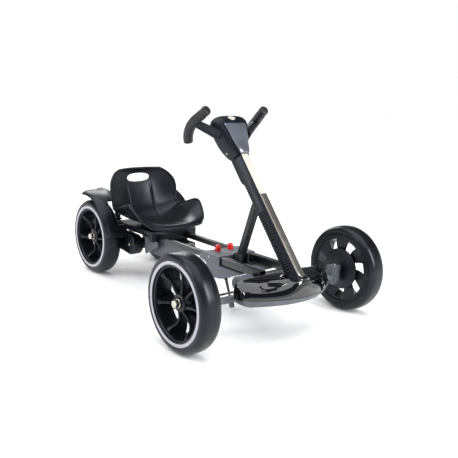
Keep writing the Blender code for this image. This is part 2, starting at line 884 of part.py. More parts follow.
def yoke():
    start = COLUMN_LENGTH + RUNNING_GAP
    sections = [
        (start, 0.0235, -0.0200, 0.0245),
        (0.386, 0.030, -0.0230, 0.0320),
        (0.412, 0.041, -0.0265, 0.0360),
        (0.440, 0.053, -0.0300, 0.0300),
        (0.468, 0.0615, -0.0335, 0.0190),
        (0.485, 0.058, -0.0315, 0.0090),
        (0.495, 0.044, -0.0270, 0.0000),
    ]
    rings = []
    for height, half, front, back in sections:
        rings.append([(x, n, height) for x, n in superellipse(half, front, back, 3.0, 24)])
    head = loft("head_housing", rings, satin_black, column_frame)
    socket = rod("socket", (0, 0, 0.3), (0, 0, 0.4003), AXLE_RADIUS + GAP, None, column_frame)
    combine(head, socket)
    for side in (1, -1):
        combine(head, arm_shape("arm_socket", side, GAP, None))
    panel = []
    for height, half, back in ((start, 0.0125, -0.0205), (0.386, 0.016, -0.0238), (0.470, 0.0285, -0.0345)):
        front = back - 0.0035
        panel.append([(-half, front, height), (half, front, height), (half, back, height), (-half, back, height)])
    loft("head_front_panel", panel, gloss_black, column_frame, smooth=False)
    cap_y = -0.0135
    rod("head_cap", (0, cap_y, 0.4953), (0, cap_y, 0.501), 0.0125, silver_panel, column_frame, 0.009, 20)
    shaft = rod("steering_shaft", (0, 0, -0.030), (0, 0, 0.400), AXLE_RADIUS, black_steel, column_frame)
    lever = box("lever", (-0.0045, 0.0, -0.030), (0.0045, LEVER_LENGTH, -0.024), None, column_frame)
    pin = rod(
        "lever_pin",
        (0, LEVER_LENGTH, -0.040),
        (0, LEVER_LENGTH, -0.024),
        LEVER_PIN,
        None,
        column_frame,
    )
    combine(shaft, lever, "UNION")
    combine(shaft, pin, "UNION")


def arm_shape(name, side, clearance, material):
    """The tapered arm between the head and one grip, its inner end sunk into the head."""
    start = (side * ARM_START[0], ARM_START[1], ARM_START[2])
    end = (side * ARM_END[0], ARM_END[1], ARM_END[2])
    near = ARM_RADIUS + clearance
    far = ARM_END_RADIUS + clearance
    return rod(name, start, end, near, material, column_frame, end_radius=far, segments=20)


def grip_shape(name, side, radius):
    """A round bar along the route of one grip, as a closed mesh."""
    curve = bpy.data.curves.new(name, "CURVE")
    curve.dimensions = "3D"
    curve.bevel_depth = radius
    curve.bevel_resolution = 3
    curve.use_fill_caps = True
    spline = curve.splines.new("POLY")
    spline.points.add(len(GRIP_ROUTE) - 1)
    for point, (x, n, s) in zip(spline.points, GRIP_ROUTE):
        point.co = (side * x, n, s, 1.0)
    bar = bpy.data.objects.new(name, curve)
    bpy.context.scene.collection.objects.link(bar)
    return settled(bar)


def handle(side):
    label = "left" if side > 0 else "right"
    arm = arm_shape(f"{label}_handle_arm", side, 0.0, satin_black)
    grip = grip_shape(f"{label}_grip", side, GRIP_RADIUS)
    place(f"{label}_grip", grip, soft_black, column_frame, smooth=True)
    saddle = grip_shape("grip_room", side, GRIP_RADIUS + GAP)
    combine(arm, place("grip_room", saddle, None, column_frame))


yoke()
handle(1)
handle(-1)


# Accelerator pedal on the driver's right


def pedal():
    half = PEDAL_WIDTH / 2
    pivot_y, pivot_z = PEDAL_PIVOT
    pad = rod(
        "accelerator_pedal",
        (-PEDAL_PLACE - half, PEDAL_CENTRE[0], PEDAL_CENTRE[1]),
        (-PEDAL_PLACE + half, PEDAL_CENTRE[0], PEDAL_CENTRE[1]),
        PEDAL_RADIUS,
        grey_plastic,
        front_frame,
        segments=24,
    )
    arm_low = (-PEDAL_PLACE - 0.008, pivot_y - 0.0045, pivot_z)
    arm_high = (-PEDAL_PLACE + 0.008, pivot_y + 0.0045, PEDAL_CENTRE[1] - 0.006)
    arm = box("arm", arm_low, arm_high, None, front_frame)
    eye_start = (-PEDAL_PLACE - 0.008, pivot_y, pivot_z)
    eye_end = (-PEDAL_PLACE + 0.008, pivot_y, pivot_z)
    eye = rod("eye", eye_start, eye_end, 0.005, None, front_frame)
    combine(pad, arm, "UNION")
    combine(pad, eye, "UNION")


pedal()


# Seat: a bucket shell of lofted cross-sections, with a handle slot in its back


def smooth_path(points, samples):
    """Points along a Catmull-Rom curve through a few given ones."""
    padded = [points[0]] + list(points) + [points[-1]]
    spans = len(points) - 1
    result = []
    for i in range(samples):
        place_along = spans * i / (samples - 1)
        k = min(int(place_along), spans - 1)
        t = place_along - k
        a, b, c, d = (Vector(p) for p in padded[k : k + 4])
        result.append(
            0.5 * (2 * b + (c - a) * t + (2 * a - 5 * b + 4 * c - d) * t**2 + (3 * b - a - 3 * c + d) * t**3)
        )
    return result


def seat():
    centre = [
        (0, -0.306, 0.195),
        (0, -0.290, 0.203),
        (0, -0.240, 0.196),
        (0, -0.205, 0.190),
        (0, -0.155, 0.188),
        (0, -0.115, 0.195),
        (0, -0.084, 0.220),
        (0, -0.062, 0.262),
        (0, -0.048, 0.308),
        (0, -0.048, 0.340),
        (0, -0.054, 0.359),
    ]
    edge = [
        (0.092, -0.294, 0.199),
        (0.117, -0.272, 0.220),
        (0.130, -0.234, 0.256),
        (0.132, -0.205, 0.264),
        (0.131, -0.150, 0.247),
        (0.126, -0.110, 0.235),
        (0.123, -0.093, 0.252),
        (0.126, -0.091, 0.290),
        (0.121, -0.083, 0.320),
        (0.101, -0.068, 0.345),
        (0.078, -0.060, 0.358),
    ]
    rows = 18
    across = 6
    middles = smooth_path(centre, rows)
    edges = smooth_path(edge, rows)
    shape = bmesh.new()
    grid = []
    for middle, rim in zip(middles, edges):
        line = []
        for j in range(-across, across + 1):
            t = abs(j) / across
            rise = t**2.4
            x = math.copysign(rim.x * t, j)
            line.append(shape.verts.new((x, middle.y + (rim.y - middle.y) * rise, middle.z + (rim.z - middle.z) * rise)))
        grid.append(line)
    for lower, upper in zip(grid, grid[1:]):
        for j in range(2 * across):
            shape.faces.new((lower[j], lower[j + 1], upper[j + 1], upper[j]))
    mesh = bpy.data.meshes.new("seat")
    shape.to_mesh(mesh)
    shape.free()
    piece = place("seat", mesh, satin_black, rear_frame, smooth=True)
    wall = piece.modifiers.new("wall", "SOLIDIFY")
    wall.thickness = SEAT_THICKNESS
    wall.offset = -1.0
    slot = box("handle_slot", (-0.044, -0.15, 0.312), (0.044, 0.05, 0.338), None, rear_frame, bevel=0.009)
    combine(piece, slot)


seat()


# Rear frame


def seat_base():
    front = -0.275
    skirt_low = RAIL_HEIGHT - inner_half - 0.002
    top_low = RAIL_HEIGHT + inner_half + RUNNING_GAP
    outline = [
        (front, skirt_low),
        (front, SEAT_BASE_TOP),
        (-0.050, SEAT_BASE_TOP),
        (-0.050, top_low),
        (front + 0.015, top_low),
        (front + 0.015, skirt_low),
    ]
    base = prism("seat_base", outline, -SEAT_BASE_HALF_WIDTH, SEAT_BASE_HALF_WIDTH, satin_black, rear_frame)
    for side in (1, -1):
        x = side * rail_x
        hole_half = inner_half + GAP
        hole = box(
            "rail_hole",
            (x - hole_half, front - 0.1, RAIL_HEIGHT - hole_half),
            (x + hole_half, front + 0.016, RAIL_HEIGHT + hole_half),
            None,
            rear_frame,
        )
        combine(base, hole)


def axle_plates():
    top = RAIL_HEIGHT - inner_half - GAP
    inner = rail_x + inner_half - AXLE_PLATE
    right = [(-0.268, 0.130), (-0.268, 0.144), (-0.255, top), (-0.190, top), (-0.190, 0.096), (-0.200, 0.094)]
    prism("right_axle_plate", right, -inner - AXLE_PLATE, -inner, grey_plastic, rear_frame)
    left = [(-0.268, 0.130), (-0.268, 0.144), (-0.255, top), (0.020, top), (0.020, 0.108), (-0.180, 0.094)]
    plate = prism("left_axle_plate", left, inner, inner + AXLE_PLATE, grey_plastic, rear_frame)
    bore = rod(
        "axle_bore", (0, 0, WHEEL_RADIUS), (0.2, 0, WHEEL_RADIUS), AXLE_RADIUS + GAP, None, rear_frame
    )
    combine(plate, bore)


def rear_axle():
    end = REAR_TRACK / 2 + axle_end
    rod("rear_axle", (-end, 0, WHEEL_RADIUS), (end, 0, WHEEL_RADIUS), AXLE_RADIUS, black_steel, rear_frame)


def gearbox():
    inner = rail_x + inner_half + 0.0005
    outer = FENDER_INNER - 0.001
    front_y, front_z, front_r = -0.150, 0.1185, 0.033
    rear_r = 0.026
    outline = []
    for i in range(13):
        angle = math.radians(90 + 15 * i)
        outline.append((front_y + front_r * math.cos(angle), front_z + front_r * math.sin(angle)))
    for i in range(13):
        angle = math.radians(270 + 15 * i)
        outline.append((rear_r * math.cos(angle), WHEEL_RADIUS + rear_r * math.sin(angle)))
    housing = prism("gearbox_housing", outline, -outer, -inner, satin_black, rear_frame, bevel=0.003)
    bore = rod("axle_bore", (-0.2, 0, WHEEL_RADIUS), (0, 0, WHEEL_RADIUS), AXLE_RADIUS + GAP, None, rear_frame)
    combine(housing, bore)
    rod("drive_motor", (-inner + GAP, front_y, front_z), (0.004, front_y, front_z), 0.019, black_steel, rear_frame, segments=24)


def battery():
    high = RAIL_HEIGHT - inner_half - 0.004
    low = high - BATTERY_HEIGHT - BOX_WALL - 0.004
    rear = -0.178
    half = BATTERY_WIDTH / 2 + BOX_WALL + RUNNING_GAP
    front = rear - BATTERY_LENGTH - 2 * (BOX_WALL + RUNNING_GAP)
    tray = box("battery_box", (-half, front, low), (half, rear, high), grey_plastic, rear_frame)
    room = box(
        "battery_room",
        (-half + BOX_WALL, front + BOX_WALL, low + BOX_WALL),
        (half - BOX_WALL, rear - BOX_WALL, high + 0.05),
        None,
        rear_frame,
    )
    combine(tray, room)
    gap = BOX_WALL + RUNNING_GAP
    box(
        "battery",
        (-half + gap, front + gap, low + BOX_WALL + GAP),
        (half - gap, rear - gap, low + BOX_WALL + GAP + BATTERY_HEIGHT),
        satin_black,
        rear_frame,
    )


def fender(side):
    label = "left" if side > 0 else "right"
    steps = 12
    crown = [(0.0, 0.005), (0.18, 0.0), (0.6, 0.0), (0.86, -0.004), (1.0, -0.013)]
    shape = bmesh.new()
    grid = []
    for i in range(steps + 1):
        angle = math.radians(9 + 108 * i / steps)
        radius = WHEEL_RADIUS + 0.0125 + 0.022 * (i / steps) ** 1.3
        line = []
        for share, lift in crown:
            r = radius + lift * (i / steps) ** 0.5
            x = FENDER_INNER + (FENDER_OUTER - FENDER_INNER) * share
            line.append(shape.verts.new((side * x, -r * math.cos(angle), WHEEL_RADIUS + r * math.sin(angle))))
        grid.append(line)
    for lower, upper in zip(grid, grid[1:]):
        for j in range(len(crown) - 1):
            corners = (lower[j], lower[j + 1], upper[j + 1], upper[j])
            shape.faces.new(corners if side > 0 else tuple(reversed(corners)))
    mesh = bpy.data.meshes.new(f"{label}_fender")
    shape.to_mesh(mesh)
    shape.free()
    piece = place(f"{label}_fender", mesh, satin_black, rear_frame, smooth=True)
    wall = piece.modifiers.new("wall", "SOLIDIFY")
    wall.thickness = FENDER_WALL
    wall.offset = 1.0
    low, high = sorted((side * (FENDER_INNER - 0.01), side * FENDER_NOTCH))
    room = box("seat_room", (low, -0.180, 0.184), (high, -0.070, 0.300), None, rear_frame, bevel=0.006)
    combine(piece, room)


def rear_deck():
    half = FENDER_INNER - 0.001
    deck = box("rear_deck", (-half, -0.005, 0.2575), (half, 0.060, 0.2625), satin_black, rear_frame)
    for side in (1, -1):
        low, high = sorted((side * 0.042, side * 0.060))
        leg_low = RAIL_HEIGHT + inner_half + GAP
        leg = box("leg", (low, 0.000, leg_low), (high, 0.012, 0.258), None, rear_frame)
        combine(deck, leg, "UNION")


seat_base()
axle_plates()
rear_axle()
gearbox()
battery()
fender(1)
fender(-1)
rear_deck()
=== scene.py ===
import json
import math

import bmesh
import bpy
from mathutils import Matrix, Vector


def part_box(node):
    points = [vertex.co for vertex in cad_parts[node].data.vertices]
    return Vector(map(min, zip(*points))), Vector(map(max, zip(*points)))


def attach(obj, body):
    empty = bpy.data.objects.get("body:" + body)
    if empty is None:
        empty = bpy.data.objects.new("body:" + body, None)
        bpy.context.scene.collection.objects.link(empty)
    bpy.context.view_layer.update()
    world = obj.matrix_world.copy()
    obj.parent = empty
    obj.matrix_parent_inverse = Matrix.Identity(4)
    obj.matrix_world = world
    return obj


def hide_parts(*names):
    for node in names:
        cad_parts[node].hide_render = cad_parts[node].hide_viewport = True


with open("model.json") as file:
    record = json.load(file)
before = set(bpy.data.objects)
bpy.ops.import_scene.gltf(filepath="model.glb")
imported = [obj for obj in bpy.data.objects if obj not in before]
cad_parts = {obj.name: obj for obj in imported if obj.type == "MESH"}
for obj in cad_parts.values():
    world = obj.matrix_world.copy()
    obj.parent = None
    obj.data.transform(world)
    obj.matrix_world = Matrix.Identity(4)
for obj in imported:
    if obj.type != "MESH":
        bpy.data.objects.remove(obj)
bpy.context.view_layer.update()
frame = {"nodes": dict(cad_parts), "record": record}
print("frame loaded:", len(frame["nodes"]), "solids")

scene = bpy.context.scene


# Node helpers


def srgb(code):
    # "#rrggbb" to the linear colour a shader takes
    values = [int(code[i : i + 2], 16) / 255 for i in (1, 3, 5)]
    return [v / 12.92 if v <= 0.04045 else ((v + 0.055) / 1.055) ** 2.4 for v in values] + [1.0]


def addNode(tree, kind, settings=None, links=None):
    # one node with its settings, and the sockets that feed it
    node = tree.nodes.new(kind)
    for key, value in (settings or {}).items():
        if isinstance(key, int) or key in node.inputs:
            node.inputs[key].default_value = value
        else:
            setattr(node, key, value)
    for key, source in (links or {}).items():
        tree.links.new(source, node.inputs[key])
    return node


def newFinish(name, colour, surface, sockets):
    # Shared base of every finish: two close shades in soft patches, a roughness that drifts with
    # them, and a surface relief. Sizes are in mm; sockets are the shader's own.
    finish = bpy.data.materials.new(name)
    finish.use_nodes = True
    tree = finish.node_tree
    shader = tree.nodes["Principled BSDF"]
    for socket, value in sockets.items():
        shader.inputs[socket].default_value = value
    place = addNode(tree, "ShaderNodeTexCoord", {"name": "place"}).outputs["Object"]
    soft = {"Scale": 1000 / colour["patchMm"], "Detail": 4.0, "Roughness": 0.6}
    patches = addNode(tree, "ShaderNodeTexNoise", soft, {"Vector": place})
    pair = {"name": "shades", "data_type": "RGBA", 6: srgb(colour["dark"]), 7: srgb(colour["light"])}
    shades = addNode(tree, "ShaderNodeMix", pair, {0: patches.outputs[0]})
    low, high = surface["roughness"]
    span = {"From Min": 0.3, "From Max": 0.7, "To Min": low, "To Max": high}
    drift = addNode(tree, "ShaderNodeMapRange", span, {"Value": patches.outputs[0]})
    fine = {"Scale": 1000 / surface["grainMm"], "Detail": 2.0}
    grain = addNode(tree, "ShaderNodeTexNoise", fine, {"Vector": place})
    depth = {"name": "relief", "Strength": 1.0, "Distance": surface["heightMm"] / 1000}
    relief = addNode(tree, "ShaderNodeBump", depth, {"Height": grain.outputs[0]})
    tree.links.new(shades.outputs[2], shader.inputs["Base Color"])
    tree.links.new(drift.outputs[0], shader.inputs["Roughness"])
    tree.links.new(relief.outputs[0], shader.inputs["Normal"])
    return finish


def drawnOut(finish, noise, scale):
    # noise stretched along the axes where scale is small
    tree = finish.node_tree
    place = tree.nodes["place"].outputs["Object"]
    spot = addNode(tree, "ShaderNodeMapping", {"Scale": scale}, {"Vector": place})
    return addNode(tree, "ShaderNodeTexNoise", noise, {"Vector": spot.outputs[0]})


def addRelief(finish, height, strength, heightMm):
    # a second relief over the finish's own
    tree = finish.node_tree
    depth = {"Strength": strength, "Distance": heightMm / 1000}
    under = tree.nodes["relief"].outputs[0]
    bump = addNode(tree, "ShaderNodeBump", depth, {"Height": height, "Normal": under})
    tree.links.new(bump.outputs[0], tree.nodes["Principled BSDF"].inputs["Normal"])


# Finishes

coolGloss = (0.80, 0.88, 1.0, 1.0)  # the blue cast that carbon black gives a plastic's gloss

# ABS moulded in a spark-eroded tool: blue-black, satin, with an even grain (real grain is 0.3 mm,
# drawn at 1.4 mm so that it shows)
satinAbs = newFinish(
    "satinAbs",
    {"dark": "#08090d", "light": "#101218", "patchMm": 42},
    {"roughness": (0.30, 0.40), "grainMm": 1.4, "heightMm": 0.05},
    {"IOR": 1.53, "Specular IOR Level": 0.34, "Specular Tint": coolGloss},
)

# ABS moulded in a polished tool: piano black, with the faint ripple that slow cooling leaves
pianoAbs = newFinish(
    "pianoAbs",
    {"dark": "#030406", "light": "#07080b", "patchMm": 60},
    {"roughness": (0.05, 0.10), "grainMm": 26, "heightMm": 0.10},
    {"IOR": 1.53, "Coat Weight": 0.7, "Coat Roughness": 0.03},
)

# Glass-filled nylon: matt mid grey, slightly streaky where the fibres lie near the skin
greyNylon = newFinish(
    "greyNylon",
    {"dark": "#4a4e55", "light": "#646870", "patchMm": 30},
    {"roughness": (0.45, 0.58), "grainMm": 1.8, "heightMm": 0.07},
    {"IOR": 1.53},
)
streaks = drawnOut(greyNylon, {"Scale": 260.0, "Detail": 3.0, "Distortion": 0.6}, (1.0, 0.16, 1.0))
tree = greyNylon.node_tree
streaked = addNode(
    tree,
    "ShaderNodeMix",
    {"data_type": "RGBA", "blend_type": "SOFT_LIGHT", 0: 0.35},
    {6: tree.nodes["shades"].outputs[2], 7: streaks.outputs[1]},
)
tree.links.new(streaked.outputs[2], tree.nodes["Principled BSDF"].inputs["Base Color"])

# Dark glass-filled nylon, for the brackets and the brace
darkNylon = newFinish(
    "darkNylon",
    {"dark": "#15171b", "light": "#202329", "patchMm": 26},
    {"roughness": (0.42, 0.55), "grainMm": 1.6, "heightMm": 0.06},
    {"IOR": 1.53},
)

# Foamed EVA with a moulded skin: soft black with a broad dull shine and tiny closed pits (real pits
# are 0.2 mm, drawn at 2 mm)
evaFoam = newFinish(
    "evaFoam",
    {"dark": "#090a0d", "light": "#101217", "patchMm": 55},
    {"roughness": (0.25, 0.33), "grainMm": 2.4, "heightMm": 0.05},
    {"IOR": 1.49, "Specular IOR Level": 0.36, "Specular Tint": coolGloss},
)
tree = evaFoam.node_tree
place = tree.nodes["place"].outputs["Object"]
pits = addNode(tree, "ShaderNodeTexVoronoi", {"Scale": 500.0, "feature": "F1"}, {"Vector": place})
addRelief(evaFoam, pits.outputs["Distance"], 0.35, 0.08)

# Printed polycarbonate ring, let into the tyre: pale lavender grey, slightly pearly
printedRing = newFinish(
    "printedRing",
    {"dark": "#9c99a4", "light": "#b5b2bd", "patchMm": 24},
    {"roughness": (0.26, 0.36), "grainMm": 1.2, "heightMm": 0.03},
    {"IOR": 1.58, "Metallic": 0.15, "Coat Weight": 0.3, "Coat Roughness": 0.12},
)

# Red ABS, moulded in a polished tool
redAbs = newFinish(
    "redAbs",
    {"dark": "#d40a0c", "light": "#ee1512", "patchMm": 9},
    {"roughness": (0.18, 0.28), "grainMm": 5, "heightMm": 0.05},
    {"IOR": 1.53, "Coat Weight": 0.3, "Coat Roughness": 0.08, "Subsurface Weight": 0.04},
)

# Powder coat on steel tube: near black with the orange peel that the powder flows into (3 mm waves)
powderCoat = newFinish(
    "powderCoat",
    {"dark": "#0b0c0f", "light": "#13151a", "patchMm": 70},
    {"roughness": (0.28, 0.36), "grainMm": 3.2, "heightMm": 0.06},
    {"IOR": 1.5, "Coat Weight": 0.25, "Coat Roughness": 0.2},
)

# Zinc plate on turned steel: bright, with fine rings round an axis along X
zincPlate = newFinish(
    "zincPlate",
    {"dark": "#a9a69d", "light": "#d8d5cb", "patchMm": 6},
    {"roughness": (0.20, 0.34), "grainMm": 0.9, "heightMm": 0.04},
    {"Metallic": 1.0},
)
lathe = drawnOut(zincPlate, {"Scale": 900.0, "Detail": 2.0}, (1.0, 0.05, 0.05))
addRelief(zincPlate, lathe.outputs[0], 0.3, 0.06)

# Printed film under clear lacquer, for the plain panel and the insert: warm ivory
ivoryFilm = newFinish(
    "ivoryFilm",
    {"dark": "#c4c0b6", "light": "#d9d5cb", "patchMm": 34},
    {"roughness": (0.16, 0.24), "grainMm": 18, "heightMm": 0.05},
    {"IOR": 1.5, "Coat Weight": 0.5, "Coat Roughness": 0.06},
)

# Smoked metallic film on ABS under lacquer, for the lower strip: warm grey in broad soft shades
smokedFilm = newFinish(
    "smokedFilm",
    {"dark": "#63605f", "light": "#a29b92", "patchMm": 80},
    {"roughness": (0.20, 0.30), "grainMm": 1.0, "heightMm": 0.02},
    {"Metallic": 0.75, "Coat Weight": 0.8, "Coat Roughness": 0.05},
)

# Metallic lacquer over moulded ABS, for the head's face: cool dark silver
steelLook = newFinish(
    "steelLook",
    {"dark": "#50555f", "light": "#8f95a1", "patchMm": 46},
    {"roughness": (0.16, 0.24), "grainMm": 1.0, "heightMm": 0.02},
    {"Metallic": 0.55, "Coat Weight": 0.8, "Coat Roughness": 0.06},
)

# Thermoplastic rubber over the grips: dead matt black with a fine pebble (drawn at 2.2 mm)
gripRubber = newFinish(
    "gripRubber",
    {"dark": "#0b0b0e", "light": "#15161a", "patchMm": 18},
    {"roughness": (0.42, 0.56), "grainMm": 2.2, "heightMm": 0.12},
    {"IOR": 1.5},
)

# Painted shade for the inside of holes and gaps: near black standing in for the shade where little light
# reaches
deepBlack = newFinish(
    "deepBlack",
    {"dark": "#030304", "light": "#060607", "patchMm": 12},
    {"roughness": (0.6, 0.75), "grainMm": 1.5, "heightMm": 0.05},
    {"IOR": 1.5},
)
print("finishes made")


# Mesh helpers


def circle(count):
    return [2 * math.pi * i / count for i in range(count)]


def skin(bm, rows, closeRow=True, closeRows=False, capStart=False, capEnd=False, index=0):
    # faces between rows of points; a row of one point closes to a tip
    made = [[bm.verts.new(point) for point in row] for row in rows]
    pairs = list(zip(made, made[1:]))
    if closeRows:
        pairs.append((made[-1], made[0]))
    faces = []
    for lower, upper in pairs:
        count = max(len(lower), len(upper))
        for i in range(count if closeRow else count - 1):
            j = (i + 1) % count
            corners = []
            for row, k in ((lower, i), (lower, j), (upper, j), (upper, i)):
                corner = row[k % len(row)] if len(row) > 1 else row[0]
                if corner not in corners:
                    corners.append(corner)
            if len(corners) > 2:
                faces.append(bm.faces.new(corners))
    if capStart and len(made[0]) > 2:
        faces.append(bm.faces.new(made[0]))
    if capEnd and len(made[-1]) > 2:
        faces.append(bm.faces.new(made[-1]))
    for face in faces:
        face.material_index = index
    return made


def turned(bm, start, end, profile, steps=40, index=0):
    # a lathe-turned shape: profile is (distance from start, radius), along start to end
    start = Vector(start)
    along = (Vector(end) - start).normalized()
    across = along.orthogonal().normalized()
    other = along.cross(across)
    rows = []
    for distance, radius in profile:
        middle = start + along * distance
        if radius < 1e-6:
            rows.append([middle])
            continue
        rows.append([middle + (across * math.cos(a) + other * math.sin(a)) * radius for a in circle(steps)])
    skin(bm, rows, capStart=True, capEnd=True, index=index)


def roundedBox(bm, low, high, radius, segments=3, matrix=None):
    size = [b - a for a, b in zip(low, high)]
    middle = [(a + b) / 2 for a, b in zip(low, high)]
    spot = Matrix.Translation(middle) @ Matrix.Diagonal((*size, 1.0))
    made = bmesh.ops.create_cube(bm, size=1.0, matrix=(matrix or Matrix.Identity(4)) @ spot)
    edges = {edge for vert in made["verts"] for edge in vert.link_edges}
    settings = {"profile": 0.5, "affect": "EDGES", "clamp_overlap": True}
    bmesh.ops.bevel(bm, geom=list(edges), offset=radius, segments=segments, **settings)


def sweep(bm, route, section):
    # a bar along a route; section(share of the length) gives points across it
    rows = []
    normal = None
    for i, point in enumerate(route):
        ahead = route[min(i + 1, len(route) - 1)]
        behind = route[max(i - 1, 0)]
        along = (ahead - behind).normalized()
        if normal is None:
            normal = (Vector((0, 0, 1)) - along * along.z).normalized()
        normal = (normal - along * normal.dot(along)).normalized()
        across = along.cross(normal)
        rows.append([point + across * a + normal * b for a, b in section(i / (len(route) - 1))])
    skin(bm, rows, capStart=True, capEnd=True)


def smoothRoute(points, samples):
    # Catmull-Rom curve through the points
    points = [Vector(p) for p in points]
    padded = [points[0]] + points + [points[-1]]
    spans = len(points) - 1
    route = []
    for i in range(samples):
        at = spans * i / (samples - 1)
        k = min(int(at), spans - 1)
        t = at - k
        a, b, c, d = padded[k : k + 4]
        bend = (2 * a - 5 * b + 4 * c - d) * t**2
        route.append(0.5 * (2 * b + (c - a) * t + bend + (3 * b - a - 3 * c + d) * t**3))
    return route


def ovalPoints(halfX, halfY, power, count, middle=(0.0, 0.0)):
    # a rounded rectangle (high power) or an ellipse (power 2)
    points = []
    for i in range(count):
        a = 2 * math.pi * (i + 0.5) / count
        c, s = math.cos(a), math.sin(a)
        x = halfX * math.copysign(abs(c) ** (2 / power), c)
        y = halfY * math.copysign(abs(s) ** (2 / power), s)
        points.append((middle[0] + x, middle[1] + y))
    return points


def step01(x, low, high):
    t = max(0.0, min(1.0, (x - low) / (high - low)))
    return t * t * (3 - 2 * t)


def toMesh(name, bm, finishes):
    bmesh.ops.remove_doubles(bm, verts=bm.verts, dist=1e-6)
    bmesh.ops.recalc_face_normals(bm, faces=bm.faces)
    mesh = bpy.data.meshes.new(name)
    bm.to_mesh(mesh)
    bm.free()
    for finish in finishes:
        mesh.materials.append(finish)
    return mesh


def looseObject(name, mesh):
    piece = bpy.data.objects.new(name, mesh)
    scene.collection.objects.link(piece)
    return piece


def settled(piece):
    # the piece with its modifiers applied, as a plain mesh; the piece itself goes
    bpy.context.view_layer.update()
    graph = bpy.context.evaluated_depsgraph_get()
    mesh = bpy.data.meshes.new_from_object(piece.evaluated_get(graph))
    name = piece.name
    bpy.data.objects.remove(piece)
    mesh.name = name
    return mesh


def spunAboutX(bm, profile, steps):
    # a closed profile of (x, radius), turned about the X axis
    rows = [[(x, r * math.cos(a), r * math.sin(a)) for x, r in profile] for a in circle(steps)]
    skin(bm, rows, closeRows=True)


def addPiece(name, mesh, body, nodes=(), angle=32):
    piece = looseObject(name, mesh)
    mesh.shade_smooth()
    mesh.set_sharp_from_angle(angle=math.radians(angle))
    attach(piece, body)
    if nodes:
        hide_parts(*nodes)


bodyOf = {n: b for b, names in frame["record"]["behaviour"]["bodies"].items() for n in names}


def drawNode(node, name, mesh, angle=32):
    # the piece that stands in for one solid
    addPiece(name, mesh, bodyOf[node], [node], angle)


def addTo(node, name, mesh, angle=32):
    # a piece on top of a solid, in its body
    addPiece(name, mesh, bodyOf[node], (), angle)


def thicken(piece, thickness, offset=-1.0):
    wall = piece.modifiers.new("wall", "SOLIDIFY")
    wall.thickness = thickness
    wall.offset = offset


def cutAway(piece, bm, finish):
    # a cut by the shape in bm; the cutter goes once the piece is settled
    cutter = looseObject("cutter", toMesh("cutter", bm, [finish]))
    piece.modifiers.new("cut", "BOOLEAN").object = cutter
    return cutter


def roundEdges(piece, width, segments, angle):
    rounding = piece.modifiers.new("rounding", "BEVEL")
    rounding.width = width
    rounding.segments = segments
    rounding.limit_method = "ANGLE"
    rounding.angle_limit = math.radians(angle)
    return rounding


def refined(node, finish, edgeMm):
    # a copy of a solid whose shape is right already, merged, with its edges rounded
    bm = bmesh.new()
    bm.from_mesh(frame["nodes"][node].data)
    bmesh.ops.remove_doubles(bm, verts=bm.verts, dist=2e-5)
    bmesh.ops.dissolve_limit(bm, angle_limit=math.radians(1.0), verts=bm.verts, edges=bm.edges)
    piece = looseObject(f"{node}_rounded", toMesh(node, bm, [finish]))
    roundEdges(piece, edgeMm / 1000, 3, 28).miter_outer = "MITER_ARC"
    drawNode(node, f"{node}_shape", settled(piece))


# Geometry Nodes trees for what repeats


def newTree(name, inputs):
    tree = bpy.data.node_groups.new(name, "GeometryNodeTree")
    tree.interface.new_socket("Geometry", in_out="OUTPUT", socket_type="NodeSocketGeometry")
    for label, kind in inputs:
        tree.interface.new_socket(label, in_out="INPUT", socket_type=kind)
    return tree, addNode(tree, "NodeGroupInput")


def endTree(tree, given, instances):
    real = addNode(tree, "GeometryNodeRealizeInstances", {}, {0: instances})
    links = {"Geometry": real.outputs[0], "Material": given.outputs["Finish"]}
    painted = addNode(tree, "GeometryNodeSetMaterial", {}, links)
    addNode(tree, "NodeGroupOutput", {}, {0: painted.outputs[0]})


# copies turned about the X axis, for spokes and the ribs of a fender
fanTree, given = newTree(
    "fanRoundAxle",
    [
        ("Blade", "NodeSocketObject"),
        ("Count", "NodeSocketInt"),
        ("Step Angle", "NodeSocketFloat"),
        ("Finish", "NodeSocketMaterial"),
    ],
)
line = addNode(fanTree, "GeometryNodeMeshLine", {"Offset": (0, 0, 0)}, {"Count": given.outputs["Count"]})
order = addNode(fanTree, "GeometryNodeInputIndex")
links = {0: order.outputs[0], 1: given.outputs["Step Angle"]}
turn = addNode(fanTree, "ShaderNodeMath", {"operation": "MULTIPLY"}, links)
spin = addNode(fanTree, "ShaderNodeCombineXYZ", {}, {"X": turn.outputs[0]})
blade = addNode(fanTree, "GeometryNodeObjectInfo", {}, {"Object": given.outputs["Blade"]})
copies = addNode(
    fanTree,
    "GeometryNodeInstanceOnPoints",
    {},
    {"Points": line.outputs[0], "Instance": blade.outputs["Geometry"], "Rotation": spin.outputs[0]},
)
endTree(fanTree, given, copies.outputs[0])

# copies in a straight row, for the ribs of the column
rowTree, given = newTree(
    "rowOfRibs",
    [
        ("Rib", "NodeSocketObject"),
        ("Count", "NodeSocketInt"),
        ("Pitch", "NodeSocketVector"),
        ("Finish", "NodeSocketMaterial"),
    ],
)
line = addNode(
    rowTree, "GeometryNodeMeshLine", {}, {"Count": given.outputs["Count"], "Offset": given.outputs["Pitch"]}
)
rib = addNode(rowTree, "GeometryNodeObjectInfo", {}, {"Object": given.outputs["Rib"]})
copies = addNode(
    rowTree,
    "GeometryNodeInstanceOnPoints",
    {},
    {"Points": line.outputs[0], "Instance": rib.outputs["Geometry"]},
)
endTree(rowTree, given, copies.outputs[0])

